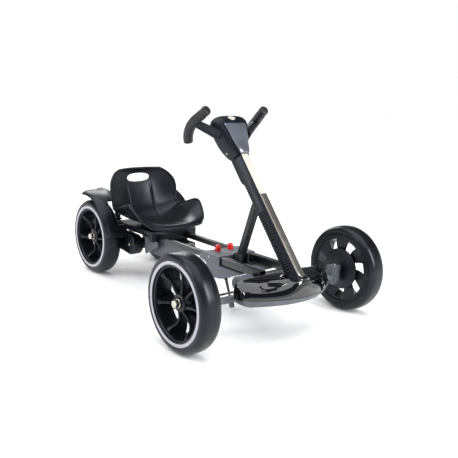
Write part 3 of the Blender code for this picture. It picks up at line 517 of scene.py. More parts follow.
# screws at marked points, each turned to face its mark's aim
screwTree, given = newTree(
    "screwsAtMarks",
    [
        ("Marks", "NodeSocketObject"),
        ("Screw", "NodeSocketObject"),
        ("Size", "NodeSocketFloat"),
        ("Finish", "NodeSocketMaterial"),
    ],
)
marks = addNode(screwTree, "GeometryNodeObjectInfo", {}, {"Object": given.outputs["Marks"]})
screw = addNode(screwTree, "GeometryNodeObjectInfo", {}, {"Object": given.outputs["Screw"]})
aim = addNode(screwTree, "GeometryNodeInputNamedAttribute", {"data_type": "FLOAT_VECTOR", "Name": "aim"})
facing = addNode(
    screwTree, "FunctionNodeAlignRotationToVector", {"axis": "Z"}, {"Vector": aim.outputs["Attribute"]}
)
copies = addNode(
    screwTree,
    "GeometryNodeInstanceOnPoints",
    {},
    {
        "Points": marks.outputs["Geometry"],
        "Instance": screw.outputs["Geometry"],
        "Rotation": facing.outputs[0],
        "Scale": given.outputs["Size"],
    },
)
endTree(screwTree, given, copies.outputs[0])


def grown(name, tree, values):
    # the plain mesh that a tree makes with these inputs
    holder = looseObject(name, bpy.data.meshes.new(name))
    nodes = holder.modifiers.new("grow", "NODES")
    nodes.node_group = tree
    for item in tree.interface.items_tree:
        if item.in_out == "INPUT" and item.name in values:
            nodes[item.identifier] = values[item.name]
    return settled(holder)


def repeated(name, tree, part, bm, finish, values):
    # plain mesh of many copies of one small shape, which feeds the tree's input called part
    model = looseObject(part, toMesh(part, bm, [finish]))
    made = grown(name, tree, {part: model, "Finish": finish, **values})
    bpy.data.objects.remove(model)
    return made


# Pan-head screw with a round socket, zinc plated
screwShape = {"radius": 0.0042, "height": 0.0022, "socket": 0.0019, "depth": 0.0014, "sunk": 0.0006}
top = screwShape["sunk"] + screwShape["height"]
bm = bmesh.new()
turned(
    bm,
    (0, 0, -screwShape["sunk"]),
    (0, 0, 1),
    [
        (0, screwShape["radius"]),
        (0.0012, screwShape["radius"]),
        (screwShape["sunk"] + screwShape["height"] * 0.85, screwShape["radius"] * 0.78),
        (top, screwShape["socket"] * 1.2),
        (top - 0.0002, screwShape["socket"]),
        (top - screwShape["depth"], screwShape["socket"]),
    ],
    steps=18,
)
screwModel = looseObject("screwModel", toMesh("screwModel", bm, [zincPlate]))
screwModel.hide_render = True


def addScrews(body, marked, size=1.0):
    # marked: (place, aim) pairs
    mesh = bpy.data.meshes.new("marks")
    mesh.from_pydata([place for place, aim in marked], [], [])
    aims = mesh.attributes.new("aim", "FLOAT_VECTOR", "POINT")
    aims.data.foreach_set("vector", [value for place, aim in marked for value in Vector(aim).normalized()])
    spots = looseObject("marks", mesh)
    values = {"Marks": spots, "Screw": screwModel, "Size": size, "Finish": zincPlate}
    made = grown(f"{body}_screws", screwTree, values)
    addPiece(made.name, made, body)
    bpy.data.objects.remove(spots)


# Camera, light and floor

viewFrom = {
    "place": (-1.1377, -1.5962, 0.6302),
    "yaw": 0.6772,  # radians
    "pitch": 0.2132,
    "roll": 0.0296,
    "lens": 50.73,
}
camera = bpy.data.objects.new("camera", bpy.data.cameras.new("camera"))
scene.collection.objects.link(camera)
camera.data.sensor_width = 36.0
camera.data.lens = viewFrom["lens"]
camera.data.clip_end = 60.0
yaw, pitch, roll = viewFrom["yaw"], viewFrom["pitch"], viewFrom["roll"]
ahead = Vector((math.sin(yaw) * math.cos(pitch), math.cos(yaw) * math.cos(pitch), -math.sin(pitch)))
level = Vector((math.cos(yaw), -math.sin(yaw), 0.0))
upright = level.cross(ahead)
right = level * math.cos(roll) + upright * math.sin(roll)
above = upright * math.cos(roll) - level * math.sin(roll)
turnedTo = Matrix((right, above, -ahead)).transposed().to_4x4()
camera.matrix_world = Matrix.Translation(viewFrom["place"]) @ turnedTo
scene.camera = camera
scene.view_settings.view_transform = "Standard"

studio = {
    "floorColour": "#ffffff",
    "floorGlow": 0.06,
    "skyLevel": 1.0,
    "paleSkyBelow": 0.17,  # share of straight up
    "darkSkyAbove": 0.30,
    "darkSky": (0.10, 0.105, 0.12, 1.0),
    "sunLevel": 2.6,
    "sunSpread": 75,
    "sunLean": -12,
    "lamps": [
        # name, place, aimed at, width, height, watts
        ("rightBox", (0.75, -2.6, 1.55), (0, -0.2, 0.2), 0.55, 1.6, 62),
        ("leftBox", (-2.6, 0.6, 1.5), (0, 0, 0.2), 0.7, 1.5, 26),
        ("backBox", (0.9, 2.6, 1.9), (0, 0.2, 0.2), 1.8, 0.9, 34),
    ],
}
sun = bpy.data.objects.new("topSun", bpy.data.lights.new("topSun", "SUN"))
sun.data.energy = studio["sunLevel"]
sun.data.angle = math.radians(studio["sunSpread"])
sun.matrix_world = Matrix.Rotation(math.radians(studio["sunLean"]), 4, "Y")
scene.collection.objects.link(sun)
for name, place, target, width, height, watts in studio["lamps"]:
    lamp = bpy.data.objects.new(name, bpy.data.lights.new(name, "AREA"))
    lamp.data.shape = "RECTANGLE"
    lamp.data.size, lamp.data.size_y = width, height
    lamp.data.energy = watts
    facing = (Vector(target) - Vector(place)).to_track_quat("-Z", "Y")
    lamp.matrix_world = Matrix.Translation(place) @ facing.to_matrix().to_4x4()
    scene.collection.objects.link(lamp)

world = bpy.data.worlds.new("studioAir")
world.use_nodes = True
scene.world = world
air = world.node_tree
direction = addNode(air, "ShaderNodeTexCoord")
height = addNode(air, "ShaderNodeSeparateXYZ", {}, {0: direction.outputs["Generated"]})
fade = addNode(air, "ShaderNodeValToRGB", {}, {0: height.outputs["Z"]})
pale, dark = fade.color_ramp.elements
pale.position, pale.color = studio["paleSkyBelow"], (1.0, 1.0, 1.0, 1.0)
dark.position, dark.color = studio["darkSkyAbove"], studio["darkSky"]
sky = air.nodes["Background"]
sky.inputs["Strength"].default_value = studio["skyLevel"]
air.links.new(fade.outputs[0], sky.inputs["Color"])

floorFinish = bpy.data.materials.new("paperSweep")  # matt white paper roll
floorFinish.use_nodes = True
paper = {
    "Base Color": srgb(studio["floorColour"]),
    "Roughness": 0.9,
    "Specular IOR Level": 0.1,
    "Emission Color": srgb(studio["floorColour"]),
    "Emission Strength": studio["floorGlow"],
}
for socket, value in paper.items():
    floorFinish.node_tree.nodes["Principled BSDF"].inputs[socket].default_value = value
bm = bmesh.new()
bmesh.ops.create_grid(bm, x_segments=1, y_segments=1, size=14.0)
floor = looseObject("paperSweep", toMesh("paperSweep", bm, [floorFinish]))
print("camera, light and floor set")


# The frame's own reference places


def middleOf(node):
    low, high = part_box(node)
    return (low + high) / 2


frontAxle = middleOf("left_front_tyre").y
rearAxle = middleOf("left_rear_tyre").y
wheelRadius = middleOf("left_front_tyre").z
columnStand = {"tilt": 40.1, "aheadOfAxle": 0.090, "height": 0.163}
columnTilt = math.radians(columnStand["tilt"])
columnFoot = Vector((0, frontAxle - columnStand["aheadOfAxle"], columnStand["height"]))
columnUp = Vector((0, math.sin(columnTilt), math.cos(columnTilt)))
columnBack = Vector((0, math.cos(columnTilt), -math.sin(columnTilt)))


def onColumn(x, back, up):
    return columnFoot + Vector((x, 0, 0)) + columnBack * back + columnUp * up


def mixed(a, b, share):
    return a + (b - a) * share


# Wheels: local +X points outboard

wheelShape = {
    "halfWidth": 0.0292,
    "tread": 0.125,
    "shoulder": 0.1048,
    "shoulderPower": 2.9,
    "grooves": (0.0982, 0.1018, 0.1054),
    "bead": 0.0936,
    "ringOuter": 0.1050,
    "ringRecess": 0.0030,
    "rimWall": 0.0052,
    "bossRadius": 0.0235,
    "bossEnd": 0.0140,
    "bore": 0.0066,
    "spokes": 7,
    "discRadius": 0.060,
}


def tyreModel():
    half, tread, core = wheelShape["halfWidth"], wheelShape["tread"], wheelShape["shoulder"]
    power, bead, ring = wheelShape["shoulderPower"], wheelShape["bead"], wheelShape["ringOuter"]
    back = -half
    profile = [(back + 0.0040, bead + 0.0002), (back + 0.0012, bead + 0.0010), (back + 0.0004, bead + 0.0030)]
    for groove in wheelShape["grooves"]:
        profile += [(back + 0.0002, groove - 0.0008), (back + 0.0012, groove)]
        profile.append((back + 0.0003, groove + 0.0008))
    count = 34
    for i in range(2, count - 1):
        a = math.pi * i / count
        c, s = -math.cos(a), math.sin(a)
        x = half * math.copysign(abs(c) ** (2 / power), c)
        r = core + (tread - core) * abs(s) ** (2 / power)
        if i <= count - 6 or r >= ring + 0.003:
            profile.append((x, r))
    # rolled step down to the printed ring's seat, then the bead
    seat = half - wheelShape["ringRecess"]
    profile += [
        (half - 0.0001, ring + 0.0032),
        (half - 0.0006, ring + 0.0011),
        (half - 0.0016, ring + 0.0005),
        (seat, ring + 0.0004),
        (seat, bead + 0.0024),
        (half - 0.0010, bead + 0.0022),
        (half - 0.0006, bead + 0.0014),
        (half - 0.0014, bead),
        (back + 0.0040, bead),
    ]
    bm = bmesh.new()
    spunAboutX(bm, profile, 112)
    return bm


def ringModel():
    # a flat band with rolled edges
    low, high = wheelShape["bead"] + 0.0026, wheelShape["ringOuter"]
    face = wheelShape["halfWidth"] - 0.0001
    back = face - 0.0024
    profile = [
        (back, low),
        (back, high),
        (face - 0.0008, high),
        (face - 0.0002, high - 0.0005),
        (face, high - 0.0014),
        (face + 0.0001, (low + high) / 2),
        (face - 0.0001, low + 0.0014),
        (face - 0.0004, low + 0.0005),
        (face - 0.0011, low),
    ]
    bm = bmesh.new()
    spunAboutX(bm, profile, 96)
    return bm


def hubModel():
    # rim band with a rolled outer lip, a stepped boss and the inner disc
    rim, half = wheelShape["bead"] - 0.0003, wheelShape["halfWidth"] - 0.0036
    inner = rim - wheelShape["rimWall"]
    profile = [
        (-half, rim),
        (-half, inner + 0.0015),
        (-half + 0.0015, inner),
        (0.0, inner - 0.0004),
        (half - 0.0045, inner),
        (half - 0.0020, inner + 0.0006),
        (half - 0.0005, inner + 0.0020),
        (half, rim - 0.0012),
        (half - 0.0008, rim),
    ]
    bm = bmesh.new()
    spunAboutX(bm, profile, 96)
    boss, disc, bore = wheelShape["bossRadius"], wheelShape["discRadius"], wheelShape["bore"]
    start = -half - 0.0002
    long = wheelShape["bossEnd"] - start
    profile = [
        (0.0, bore),
        (0.0, disc - 0.0020),
        (0.0012, disc),
        (0.0040, disc),
        (0.0056, disc - 0.0016),
        (0.0062, boss + 0.0045),
        (0.0100, boss + 0.0010),
        (long - 0.0070, boss),
        (long - 0.0030, boss - 0.0004),
        (long - 0.0012, boss - 0.0024),
        (long - 0.0008, boss - 0.0060),
        (long - 0.0026, boss - 0.0072),
        (long - 0.0026, 0.0136),
        (long, 0.0126),
        (long, bore),
    ]
    turned(bm, (start, 0, 0), (1, 0, 0), profile, steps=64)
    return bm


def spokeModel():
    # S-curved along its length, with a narrow front crest and blades that deepen to the rim
    root, tip = 0.0205, wheelShape["bead"] - 0.0045
    count = 18
    rows = []
    for i in range(count + 1):
        t = i / count
        r = mixed(root, tip, t)
        swing = 0.0062 * math.sin(math.pi * (t - 0.10) * 1.25) * (1 - 0.25 * t)
        crest = 0.0105 - 0.0090 * math.sin(math.pi * min(t * 0.86 + 0.05, 1.0))
        crest += 0.0110 * step01(t, 0.60, 1.0)
        foot = -0.0120 - 0.0115 * t
        crestHalf = mixed(0.0042, 0.0030, math.sin(math.pi * t)) + 0.0042 * step01(t, 0.82, 1.0)
        footHalf = 0.0100 + 0.0135 * step01(t, 0.10, 1.0)
        # one flank from the crest to the foot, then its mirror image
        flank = [
            (crest, 0.55 * crestHalf),
            (crest - 0.0010, crestHalf),
            (crest - 0.0040, crestHalf * 1.02),
            (mixed(crest, foot, 0.62), mixed(crestHalf, footHalf, 0.5)),
            (foot + 0.0014, footHalf),
            (foot, footHalf - 0.0010),
        ]
        mirrored = [(x, -w) for x, w in reversed(flank)]
        section = [(crest + 0.0004, 0.0), *flank, (foot, 0.0), *mirrored]
        rows.append([(x, w + swing, r) for x, w in section])
    bm = bmesh.new()
    skin(bm, rows, capStart=True, capEnd=True)
    return bm


def nutModel():
    # a flanged washer under a chamfered hexagon nut, with its hollow painted near black as shade
    start = wheelShape["bossEnd"] + 0.0004
    hole = 0.0062
    washer = [(0, hole), (0, 0.0117), (0.0004, 0.0121), (0.0018, 0.0120), (0.0024, 0.0112), (0.0025, hole)]
    nut = [(0, hole), (0, 0.0102), (0.0008, 0.0110), (0.0092, 0.0110), (0.0110, 0.0098), (0.0114, 0.0078)]
    hollow = [(0, 0.0080), (0.0006, 0.0076), (0.0008, 0.0062), (-0.0066, 0.0058), (-0.0066, 0.0)]
    bm = bmesh.new()
    turned(bm, (start, 0, 0), (1, 0, 0), washer, steps=36)
    turned(bm, (start + 0.0022, 0, 0), (1, 0, 0), nut, steps=6)
    # the hollow takes the near-black painted shade finish
    turned(bm, (start + 0.0126, 0, 0), (1, 0, 0), hollow, steps=36, index=1)
    for face in bm.faces:
        if face.material_index == 1 and face.calc_center_median().x > start + 0.0122:
            face.material_index = 0  # the bright rim of the hollow
    return bm


def makeWheel(label, side):
    place = Matrix.Translation(middleOf(f"{label}_tyre")) @ Matrix.Diagonal((side, 1, 1, 1))

    def draw(part, solid, bm, finishes):
        bm.transform(place)
        drawNode(f"{label}_{solid}", f"{label}_{part}_shape", toMesh(part, bm, finishes))

    draw("tyre", "tyre", tyreModel(), [evaFoam])
    draw("ring", "sidewall_ring", ringModel(), [printedRing])
    draw("hub", "hub", hubModel(), [satinAbs])
    fan = {"Count": wheelShape["spokes"], "Step Angle": 2 * math.pi / wheelShape["spokes"]}
    spokes = repeated(f"{label}_spokes", fanTree, "Blade", spokeModel(), satinAbs, fan)
    spokes.transform(place)
    if side < 0:
        spokes.flip_normals()
    addTo(f"{label}_hub", f"{label}_spokes_shape", spokes, 40)
    # the nut's second finish is the painted shade inside its hollow
    draw("nut", "axle_nut", nutModel(), [zincPlate, deepBlack])


for label, side in (("left_front", 1), ("right_front", -1), ("left_rear", 1), ("right_rear", -1)):
    makeWheel(label, side)
print("wheels made")


# Front body: a domed shell over a tray. Places forward (-) and back are from the front axle.

bodyShape = {
    "halfWidth": 0.1590,
    "front": -0.1240,
    "rear": -0.0165,
    "sweep": 0.055,  # how far the front edge falls back at 140 mm from the middle
    "frontCorner": (0.146, -0.0385),  # where it starts, where it ends
    "rearCorner": (0.140, -0.0335),
    "seam": 0.1203,
    "top": 0.1655,
    "shoulder": 0.024,
    "middleShoulder": 0.0115,
    "middleSpread": 0.042,
    "wall": 0.003,
    "trayWall": 0.002,
}
footrestShape = {"out": 0.074, "back": -0.0790, "halfLength": 0.040, "halfWidth": 0.0150, "lean": 0.0120}
moatShape = {"back": -0.0890, "halfWidth": 0.0305, "halfDepth": 0.0290, "rise": 0.0034, "depth": 0.0060}


def roundedCorner(value, wide, corner):
    # the edge turns a quarter ellipse towards the end of the body
    start, end = corner
    t = max(0.0, min((wide - start) / (bodyShape["halfWidth"] - start), 1.0))
    return mixed(value, end, 1 - math.sqrt(1 - t * t))


def bodyEdges(x):
    # front and rear edge of the plan at this distance from the middle
    wide = abs(x)
    front = bodyShape["front"] + bodyShape["sweep"] * (min(wide, bodyShape["frontCorner"][0]) / 0.14) ** 2
    front = roundedCorner(front, wide, bodyShape["frontCorner"])
    return front, roundedCorner(bodyShape["rear"], wide, bodyShape["rearCorner"])


def coverHeight(x, y):
    front, rear = bodyEdges(x)
    inside = min(y - front, (rear - y) * 1.5, (bodyShape["halfWidth"] - abs(x)) * 1.1)
    middle = math.exp(-((x / bodyShape["middleSpread"]) ** 2))
    shoulder = mixed(bodyShape["shoulder"], bodyShape["middleShoulder"], middle)
    t = min(max(inside, 0.0) / shoulder, 1.0)
    dome = (1 - (1 - t) ** 2.2) ** (1 / 2.2)
    # the top falls towards the front edge and a little towards the ends
    share = (y - front) / max(rear - front, 1e-4)
    slope = 0.0230 * (1 - step01(share, -0.15, 0.80)) + 0.0045 * step01(abs(x), 0.05, 0.159)
    slope *= 1 - 0.92 * middle
    z = bodyShape["seam"] + (bodyShape["top"] - slope - bodyShape["seam"]) * dome
    # leaf-shaped footrests: scooped, with a raised front lip, either side of the column
    across = (abs(x) - footrestShape["out"]) / footrestShape["halfLength"]
    lean = (y - footrestShape["back"] - footrestShape["lean"] * across) / footrestShape["halfWidth"]
    leaf = abs(across) ** 2.2 + abs(lean) ** 2.2
    z -= 0.0022 * (1 - step01(leaf, 0.35, 1.05)) * (1 - step01(y, -0.074, -0.060))
    z += 0.0017 * math.exp(-(((leaf - 1.15) / 0.16) ** 2)) * step01(-y, 0.070, 0.082)
    # a swelling round the foot of the column, with a moat inside it
    sideways, lengthways = x / moatShape["halfWidth"], (y - moatShape["back"]) / moatShape["halfDepth"]
    around = sideways**4 + lengthways**4
    z += moatShape["rise"] * math.exp(-(((around - 1.05) / 0.45) ** 2)) * dome
    z -= moatShape["depth"] * (1 - step01(around, 0.30, 0.66))
    # curved step that sets the end caps apart
    return z - 0.0016 * step01(abs(x) + 0.10 * (y + 0.06), 0.1375, 0.1395)


def acrossBody(count):
    # places across the width, closer together towards the ends
    shares = [math.sin(math.pi / 2 * (2 * i / count - 1)) for i in range(count + 1)]
    return [bodyShape["halfWidth"] * share * 0.99995 for share in shares]


def frontCover():
    bm = bmesh.new()
    grid = []
    spanY = 56
    for x in acrossBody(150):
        front, rear = bodyEdges(x)
        line = []
        for j in range(spanY + 1):
            y = mixed(front, rear, (1 - math.cos(math.pi * j / spanY)) / 2)
            line.append(bm.verts.new((x, y + frontAxle, coverHeight(x, y))))
        grid.append(line)
    for left, right in zip(grid, grid[1:]):
        for j in range(spanY):
            bm.faces.new((left[j], right[j], right[j + 1], left[j + 1]))
    mesh = toMesh("front_cover", bm, [pianoAbs])
    if mesh.polygons[len(mesh.polygons) // 2].normal.z < 0:
        mesh.flip_normals()
    piece = looseObject("front_cover_skin", mesh)
    thicken(piece, bodyShape["wall"])
    drawNode("front_cover", "front_cover_shape", settled(piece), 60)


def bodyOutline(inset):
    xs = acrossBody(44)
    points = [(x, bodyEdges(x)[0]) for x in xs] + [(x, bodyEdges(x)[1]) for x in reversed(xs)]
    middle = (bodyShape["front"] + bodyShape["rear"]) / 2
    scaleX = 1 - inset / bodyShape["halfWidth"]
    scaleY = 1 - 2 * inset / (bodyShape["rear"] - bodyShape["front"])
    return [(x * scaleX, frontAxle + middle + (y - middle) * scaleY) for x, y in points]


def frontTray():
    levels = [
        # height, how far in from the body's outline
        (0.1155, 0.0040),
        (0.1185, 0.0036),
        (0.1186, 0.0012),
        (0.1176, 0.0005),
        (0.1120, 0.0014),
        (0.1085, 0.0040),
        (0.1040, 0.0100),
        (0.1010, 0.0165),
        (0.0993, 0.0230),
        (0.0991, 0.0400),
    ]
    bm = bmesh.new()
    skin(bm, [[(x, y, z) for x, y in bodyOutline(inset)] for z, inset in levels], capEnd=True)
    bmesh.ops.triangulate(bm, faces=[f for f in bm.faces if len(f.verts) > 4])
    piece = looseObject("front_tray_skin", toMesh("front_tray", bm, [greyNylon]))
    thicken(piece, bodyShape["trayWall"])
    drawNode("front_tray", "front_tray_shape", settled(piece), 40)


collarShape = {"middle": (0.0, -0.0879), "halfWidth": 0.0265, "halfDepth": 0.0300, "narrowFront": 0.74}


def columnCollar():
    # a rolled rim round the column's foot, lying on the cover's own surface
    outside = [(1.0, -0.0040), (1.0, 0.0008), (0.985, 0.0022)]
    inside = [(0.950, 0.0028), (0.915, 0.0018), (0.900, -0.0060)]
    halfWidth, halfDepth, middle = collarShape["halfWidth"], collarShape["halfDepth"], collarShape["middle"]
    rows = []
    for scale, lift in outside + inside:
        row = []
        for x, y in ovalPoints(halfWidth * scale, halfDepth * scale, 3.4, 64, middle):
            x *= mixed(collarShape["narrowFront"], 1.0, step01(y, -0.118, -0.085))
            row.append((x, y + frontAxle, coverHeight(x, y) + lift))
        rows.append(row)
    bm = bmesh.new()
    skin(bm, rows, closeRows=True)
    addTo("front_cover", "column_collar", toMesh("column_collar", bm, [pianoAbs]), 60)


frontCover()
frontTray()
columnCollar()
print("front body made")


# Column: places are (sideways, back from its axis, up along it)

columnShape = {
    "half": 0.0220,
    "front": -0.0165,
    "back": 0.0160,
    "stepBack": 0.0240,
    "stepFrom": 0.286,
    "stepTo": 0.304,
    "foot": -0.0060,  # below the column's mark, cut level
    "top": 0.3715,
    "frontTaper": 0.60,
    "stripHalf": 0.0114,
    "stripFoot": -0.008,
    "stripTop": 0.2418,
    "panelFrom": 0.2428,
    "panelTo": 0.3712,
}


def columnHousing():
    front, top = columnShape["front"], columnShape["top"]
    rows = []
    count = 72
    for i in range(count + 1):
        share = i / count
        stepped = step01(share * top, columnShape["stepFrom"], columnShape["stepTo"])
        back = mixed(columnShape["back"], columnShape["stepBack"], stepped)
        row = []
        for x, n in ovalPoints(columnShape["half"], 1.0, 6.5, 44):
            depth = mixed(front, back, (n + 1) / 2)
            x *= mixed(columnShape["frontTaper"], 1.0, step01(n, -1.0, 0.25))
            foot = (columnShape["foot"] + math.sin(columnTilt) * depth) / math.cos(columnTilt)
            row.append(onColumn(x, depth, mixed(foot, top, share)))
        rows.append(row)
    bm = bmesh.new()
    skin(bm, rows, capStart=True, capEnd=True)
    drawNode("column_housing", "column_housing_shape", toMesh("column", bm, [satinAbs]))


ribShape = {"count": 25, "from": 0.020, "pitch": 0.0073, "halfDepth": 0.0015, "halfHeight": 0.0021}


def columnRibs():
    # each rib wraps from the strip's edge round to the side
    wrap = [
        (0.0126, -0.0150),
        (0.0150, -0.0112),
        (0.0186, -0.0060),
        (0.0212, -0.0008),
        (0.0221, 0.0050),
        (0.0221, 0.0132),
    ]

    def ribSection(share):
        depth = ribShape["halfDepth"] * math.sqrt(max(1 - (2 * share - 1) ** 6, 0.05))
        return [(depth * math.cos(a), ribShape["halfHeight"] * math.sin(a)) for a in circle(10)]

    values = {"Count": ribShape["count"], "Pitch": columnUp * ribShape["pitch"]}
    for side, label in ((1, "left"), (-1, "right")):
        bm = bmesh.new()
        sweep(bm, smoothRoute([onColumn(side * x, n, ribShape["from"]) for x, n in wrap], 16), ribSection)
        ribs = repeated("ribs", rowTree, "Rib", bm, satinAbs, values)
        addTo("column_housing", f"column_ribs_{label}", ribs, 60)


def columnFace(name, node, low, high, finish, crown, roundFoot):
    # a crowned bar on the front of the column
    rows = []
    count = 40
    base = columnShape["front"] - 0.0003
    for i in range(count + 1):
        up = mixed(low, high, i / count)
        near = min((up - low) / 0.010, 1.0) if roundFoot else 1.0
        half = columnShape["stripHalf"] * math.sqrt(max(1 - (1 - near) ** 2, 0.02))
        row = []
        for x, n in ovalPoints(half, 1.0, 3.4, 24):
            bulge = crown * (1 - (x / columnShape["stripHalf"]) ** 2)
            row.append(onColumn(x, base - (0.0022 + bulge) * (1 - n) / 2, up))
        rows.append(row)
    bm = bmesh.new()
    skin(bm, rows, capStart=True, capEnd=True)
    drawNode(node, name, toMesh(name, bm, [finish]), 50)


columnHousing()
columnRibs()
strip = (columnShape["stripFoot"], columnShape["stripTop"])
panel = (columnShape["panelFrom"], columnShape["panelTo"])
columnFace("column_strip_shape", "column_front_strip", *strip, smokedFilm, 0.0012, True)
columnFace("column_panel_shape", "column_panel", *panel, ivoryFilm, 0.0004, False)
print("column made")


# Yoke: places are (sideways, back from the column's axis, up along it)

yokeShape = {
    # up the column, half width, front, back
    "sections": [
        (0.3722, 0.0235, -0.0200, 0.0245),
        (0.3860, 0.0300, -0.0230, 0.0320),
        (0.4120, 0.0410, -0.0265, 0.0360),
        (0.4400, 0.0530, -0.0300, 0.0300),
        (0.4680, 0.0615, -0.0335, 0.0190),
        (0.4850, 0.0580, -0.0315, 0.0090),
        (0.4930, 0.0460, -0.0275, 0.0010),
        (0.4962, 0.0300, -0.0220, -0.0050),
    ],
    # up the column, half width, back edge
    "face": [
        (0.3722, 0.0150, -0.0204),
        (0.3860, 0.0190, -0.0234),
        (0.4250, 0.0290, -0.0284),
        (0.4640, 0.0385, -0.0330),
    ],
    "insertPlace": (0, -0.0262, 0.4868),
    "insertAim": (0, -0.6262, 0.9868),
    "insertRadius": 0.0142,
    "gripRoute": [
        (0.1010, -0.0640, 0.4867),
        (0.1045, -0.0400, 0.4880),
        (0.1095, -0.0150, 0.4898),
        (0.1108, 0.0060, 0.4898),
        (0.1098, 0.0220, 0.4880),
        (0.1068, 0.0400, 0.4835),
        (0.1025, 0.0550, 0.4765),
        (0.0998, 0.0630, 0.4700),
    ],
    "gripLength": 0.135,
    "gripRadius": 0.0130,
    "gripGrooves": (0.013, 0.123),
    "armStart": (0.0480, -0.0070, 0.4440),
    "armEnd": (0.1080, -0.0060, 0.4850),
    "armRadius": (0.0151, 0.0106),
    "screw": (0.0330, 0.012, 0.3935),
}


def headHousing():
    levels = yokeShape["sections"]
    count = 60
    ups = smoothRoute([(level[0], 0, 0) for level in levels], count)
    sizes = smoothRoute([level[1:] for level in levels], count)
    rows = []
    for up, (half, front, back) in zip(ups, sizes):
        row = []
        for x, n in ovalPoints(half, (back - front) / 2, 2.8, 64, (0, (front + back) / 2)):
            # shallow hollow where each arm leaves the head
            cut = 0.0020 * math.exp(-(((abs(x) - half) / 0.010) ** 2) - ((up.x - 0.4630) / 0.010) ** 2)
            row.append(onColumn(x * (1 - cut / max(half, 0.01)), n, up.x))
        rows.append(row)
    bm = bmesh.new()
    skin(bm, rows, capStart=True, capEnd=True)
    drawNode("head_housing", "head_shape", toMesh("head", bm, [satinAbs]), 40)


def headFace():
    # tapered plate with a ridge down its middle, proud of the head
    levels = yokeShape["face"]
    count = 28
    ups = smoothRoute([(level[0], 0, 0) for level in levels], count)
    sizes = smoothRoute([(level[1], level[2], 0) for level in levels], count)
    rows = []
    for i, (up, size) in enumerate(zip(ups, sizes)):
        near = min(i / 3.0, (count - 1 - i) / 3.0, 1.0)
        tuck = math.sqrt(1 - (1 - near) ** 2)
        half = size.x * (0.93 + 0.07 * tuck)
        thick = 0.0012 + 0.0022 * tuck
        row = []
        for x, n in ovalPoints(half, 1.0, 4.5, 28):
            ridge = 0.0024 * max(0.0, 1 - abs(x) / half) * tuck
            row.append(onColumn(x, size.y + 0.0014 - (thick + ridge + 0.0014) * (1 - n) / 2, up.x))
        rows.append(row)
    bm = bmesh.new()
    skin(bm, rows, capStart=True, capEnd=True)
    drawNode("head_front_panel", "head_face_shape", toMesh("head_face", bm, [steelLook]), 40)


def headInsert():
    wide = yokeShape["insertRadius"]
    profile = [(-0.0040, wide * 0.96), (0.0014, wide)]
    angles = [math.pi / 2 * i / 7 for i in range(8)]
    profile += [(0.0018 + 0.0032 * math.sin(a), wide * math.cos(a)) for a in angles]
    bm = bmesh.new()
    turned(bm, onColumn(*yokeShape["insertPlace"]), onColumn(*yokeShape["insertAim"]), profile, 44)
    drawNode("head_cap", "head_insert_shape", toMesh("head_insert", bm, [ivoryFilm]), 50)


def armSection(share):
    # round and tapering, with twelve shallow flutes
    radius = mixed(*yokeShape["armRadius"], share**0.8)
    radii = [(a, radius - 0.0011 * max(0.0, math.cos(12 * a)) ** 2) for a in circle(72)]
    return [(r * math.cos(a), r * math.sin(a)) for a, r in radii]


def gripSection(share):
    # round, with rolled ends, a groove near each end and a pattern of shallow pads between them
    along = share * yokeShape["gripLength"]
    end = min(along / 0.0045, (yokeShape["gripLength"] - along) / 0.0075, 1.0)
    swell = 1.0 + 0.07 * math.sin(math.pi * share)
    radius = yokeShape["gripRadius"] * swell * (0.62 + 0.38 * math.sqrt(1 - (1 - end) ** 2))
    for groove in yokeShape["gripGrooves"]:
        radius -= 0.0012 * math.exp(-(((along - groove) / 0.0014) ** 2))
    pads = 0.00035 * math.cos(along * 900) * step01(along, 0.018, 0.026) * (1 - step01(along, 0.108, 0.116))
    radii = [(a, radius + pads * math.cos(8 * a)) for a in circle(56)]
    return [(r * math.cos(a), r * math.sin(a)) for a, r in radii]


def handle(side, label):
    start, end = Vector(yokeShape["armStart"]), Vector(yokeShape["armEnd"])
    route = [onColumn(side * p.x, p.y, p.z) for p in (start.lerp(end, i / 16) for i in range(17))]
    bm = bmesh.new()
    sweep(bm, route, armSection)
    drawNode(f"{label}_handle_arm", f"{label}_arm_shape", toMesh("arm", bm, [satinAbs]), 50)
    bm = bmesh.new()
    sweep(bm, smoothRoute([onColumn(side * x, n, s) for x, n, s in yokeShape["gripRoute"]], 88), gripSection)
    drawNode(f"{label}_grip", f"{label}_grip_shape", toMesh("grip", bm, [gripRubber]), 50)


headHousing()
headFace()
headInsert()
handle(1, "left")
handle(-1, "right")
x, back, up = yokeShape["screw"]
addScrews("yoke", [(onColumn(side * x, back, up), (side * 0.92, 0.2, -0.3)) for side in (-1, 1)], 0.85)
print("yoke made")


# Pedal: a ribbed roller on an arm that turns on a pin

pedalShape = {
    "radius": 0.0182,
    "halfWidth": 0.025,
    "inset": 0.019,  # the roller's middle, from the solid's rear and top
    "ribs": 22,
    "pinBack": 0.005,
    "pinHeight": 0.119,
    "armHalf": (0.0078, 0.0044),
}


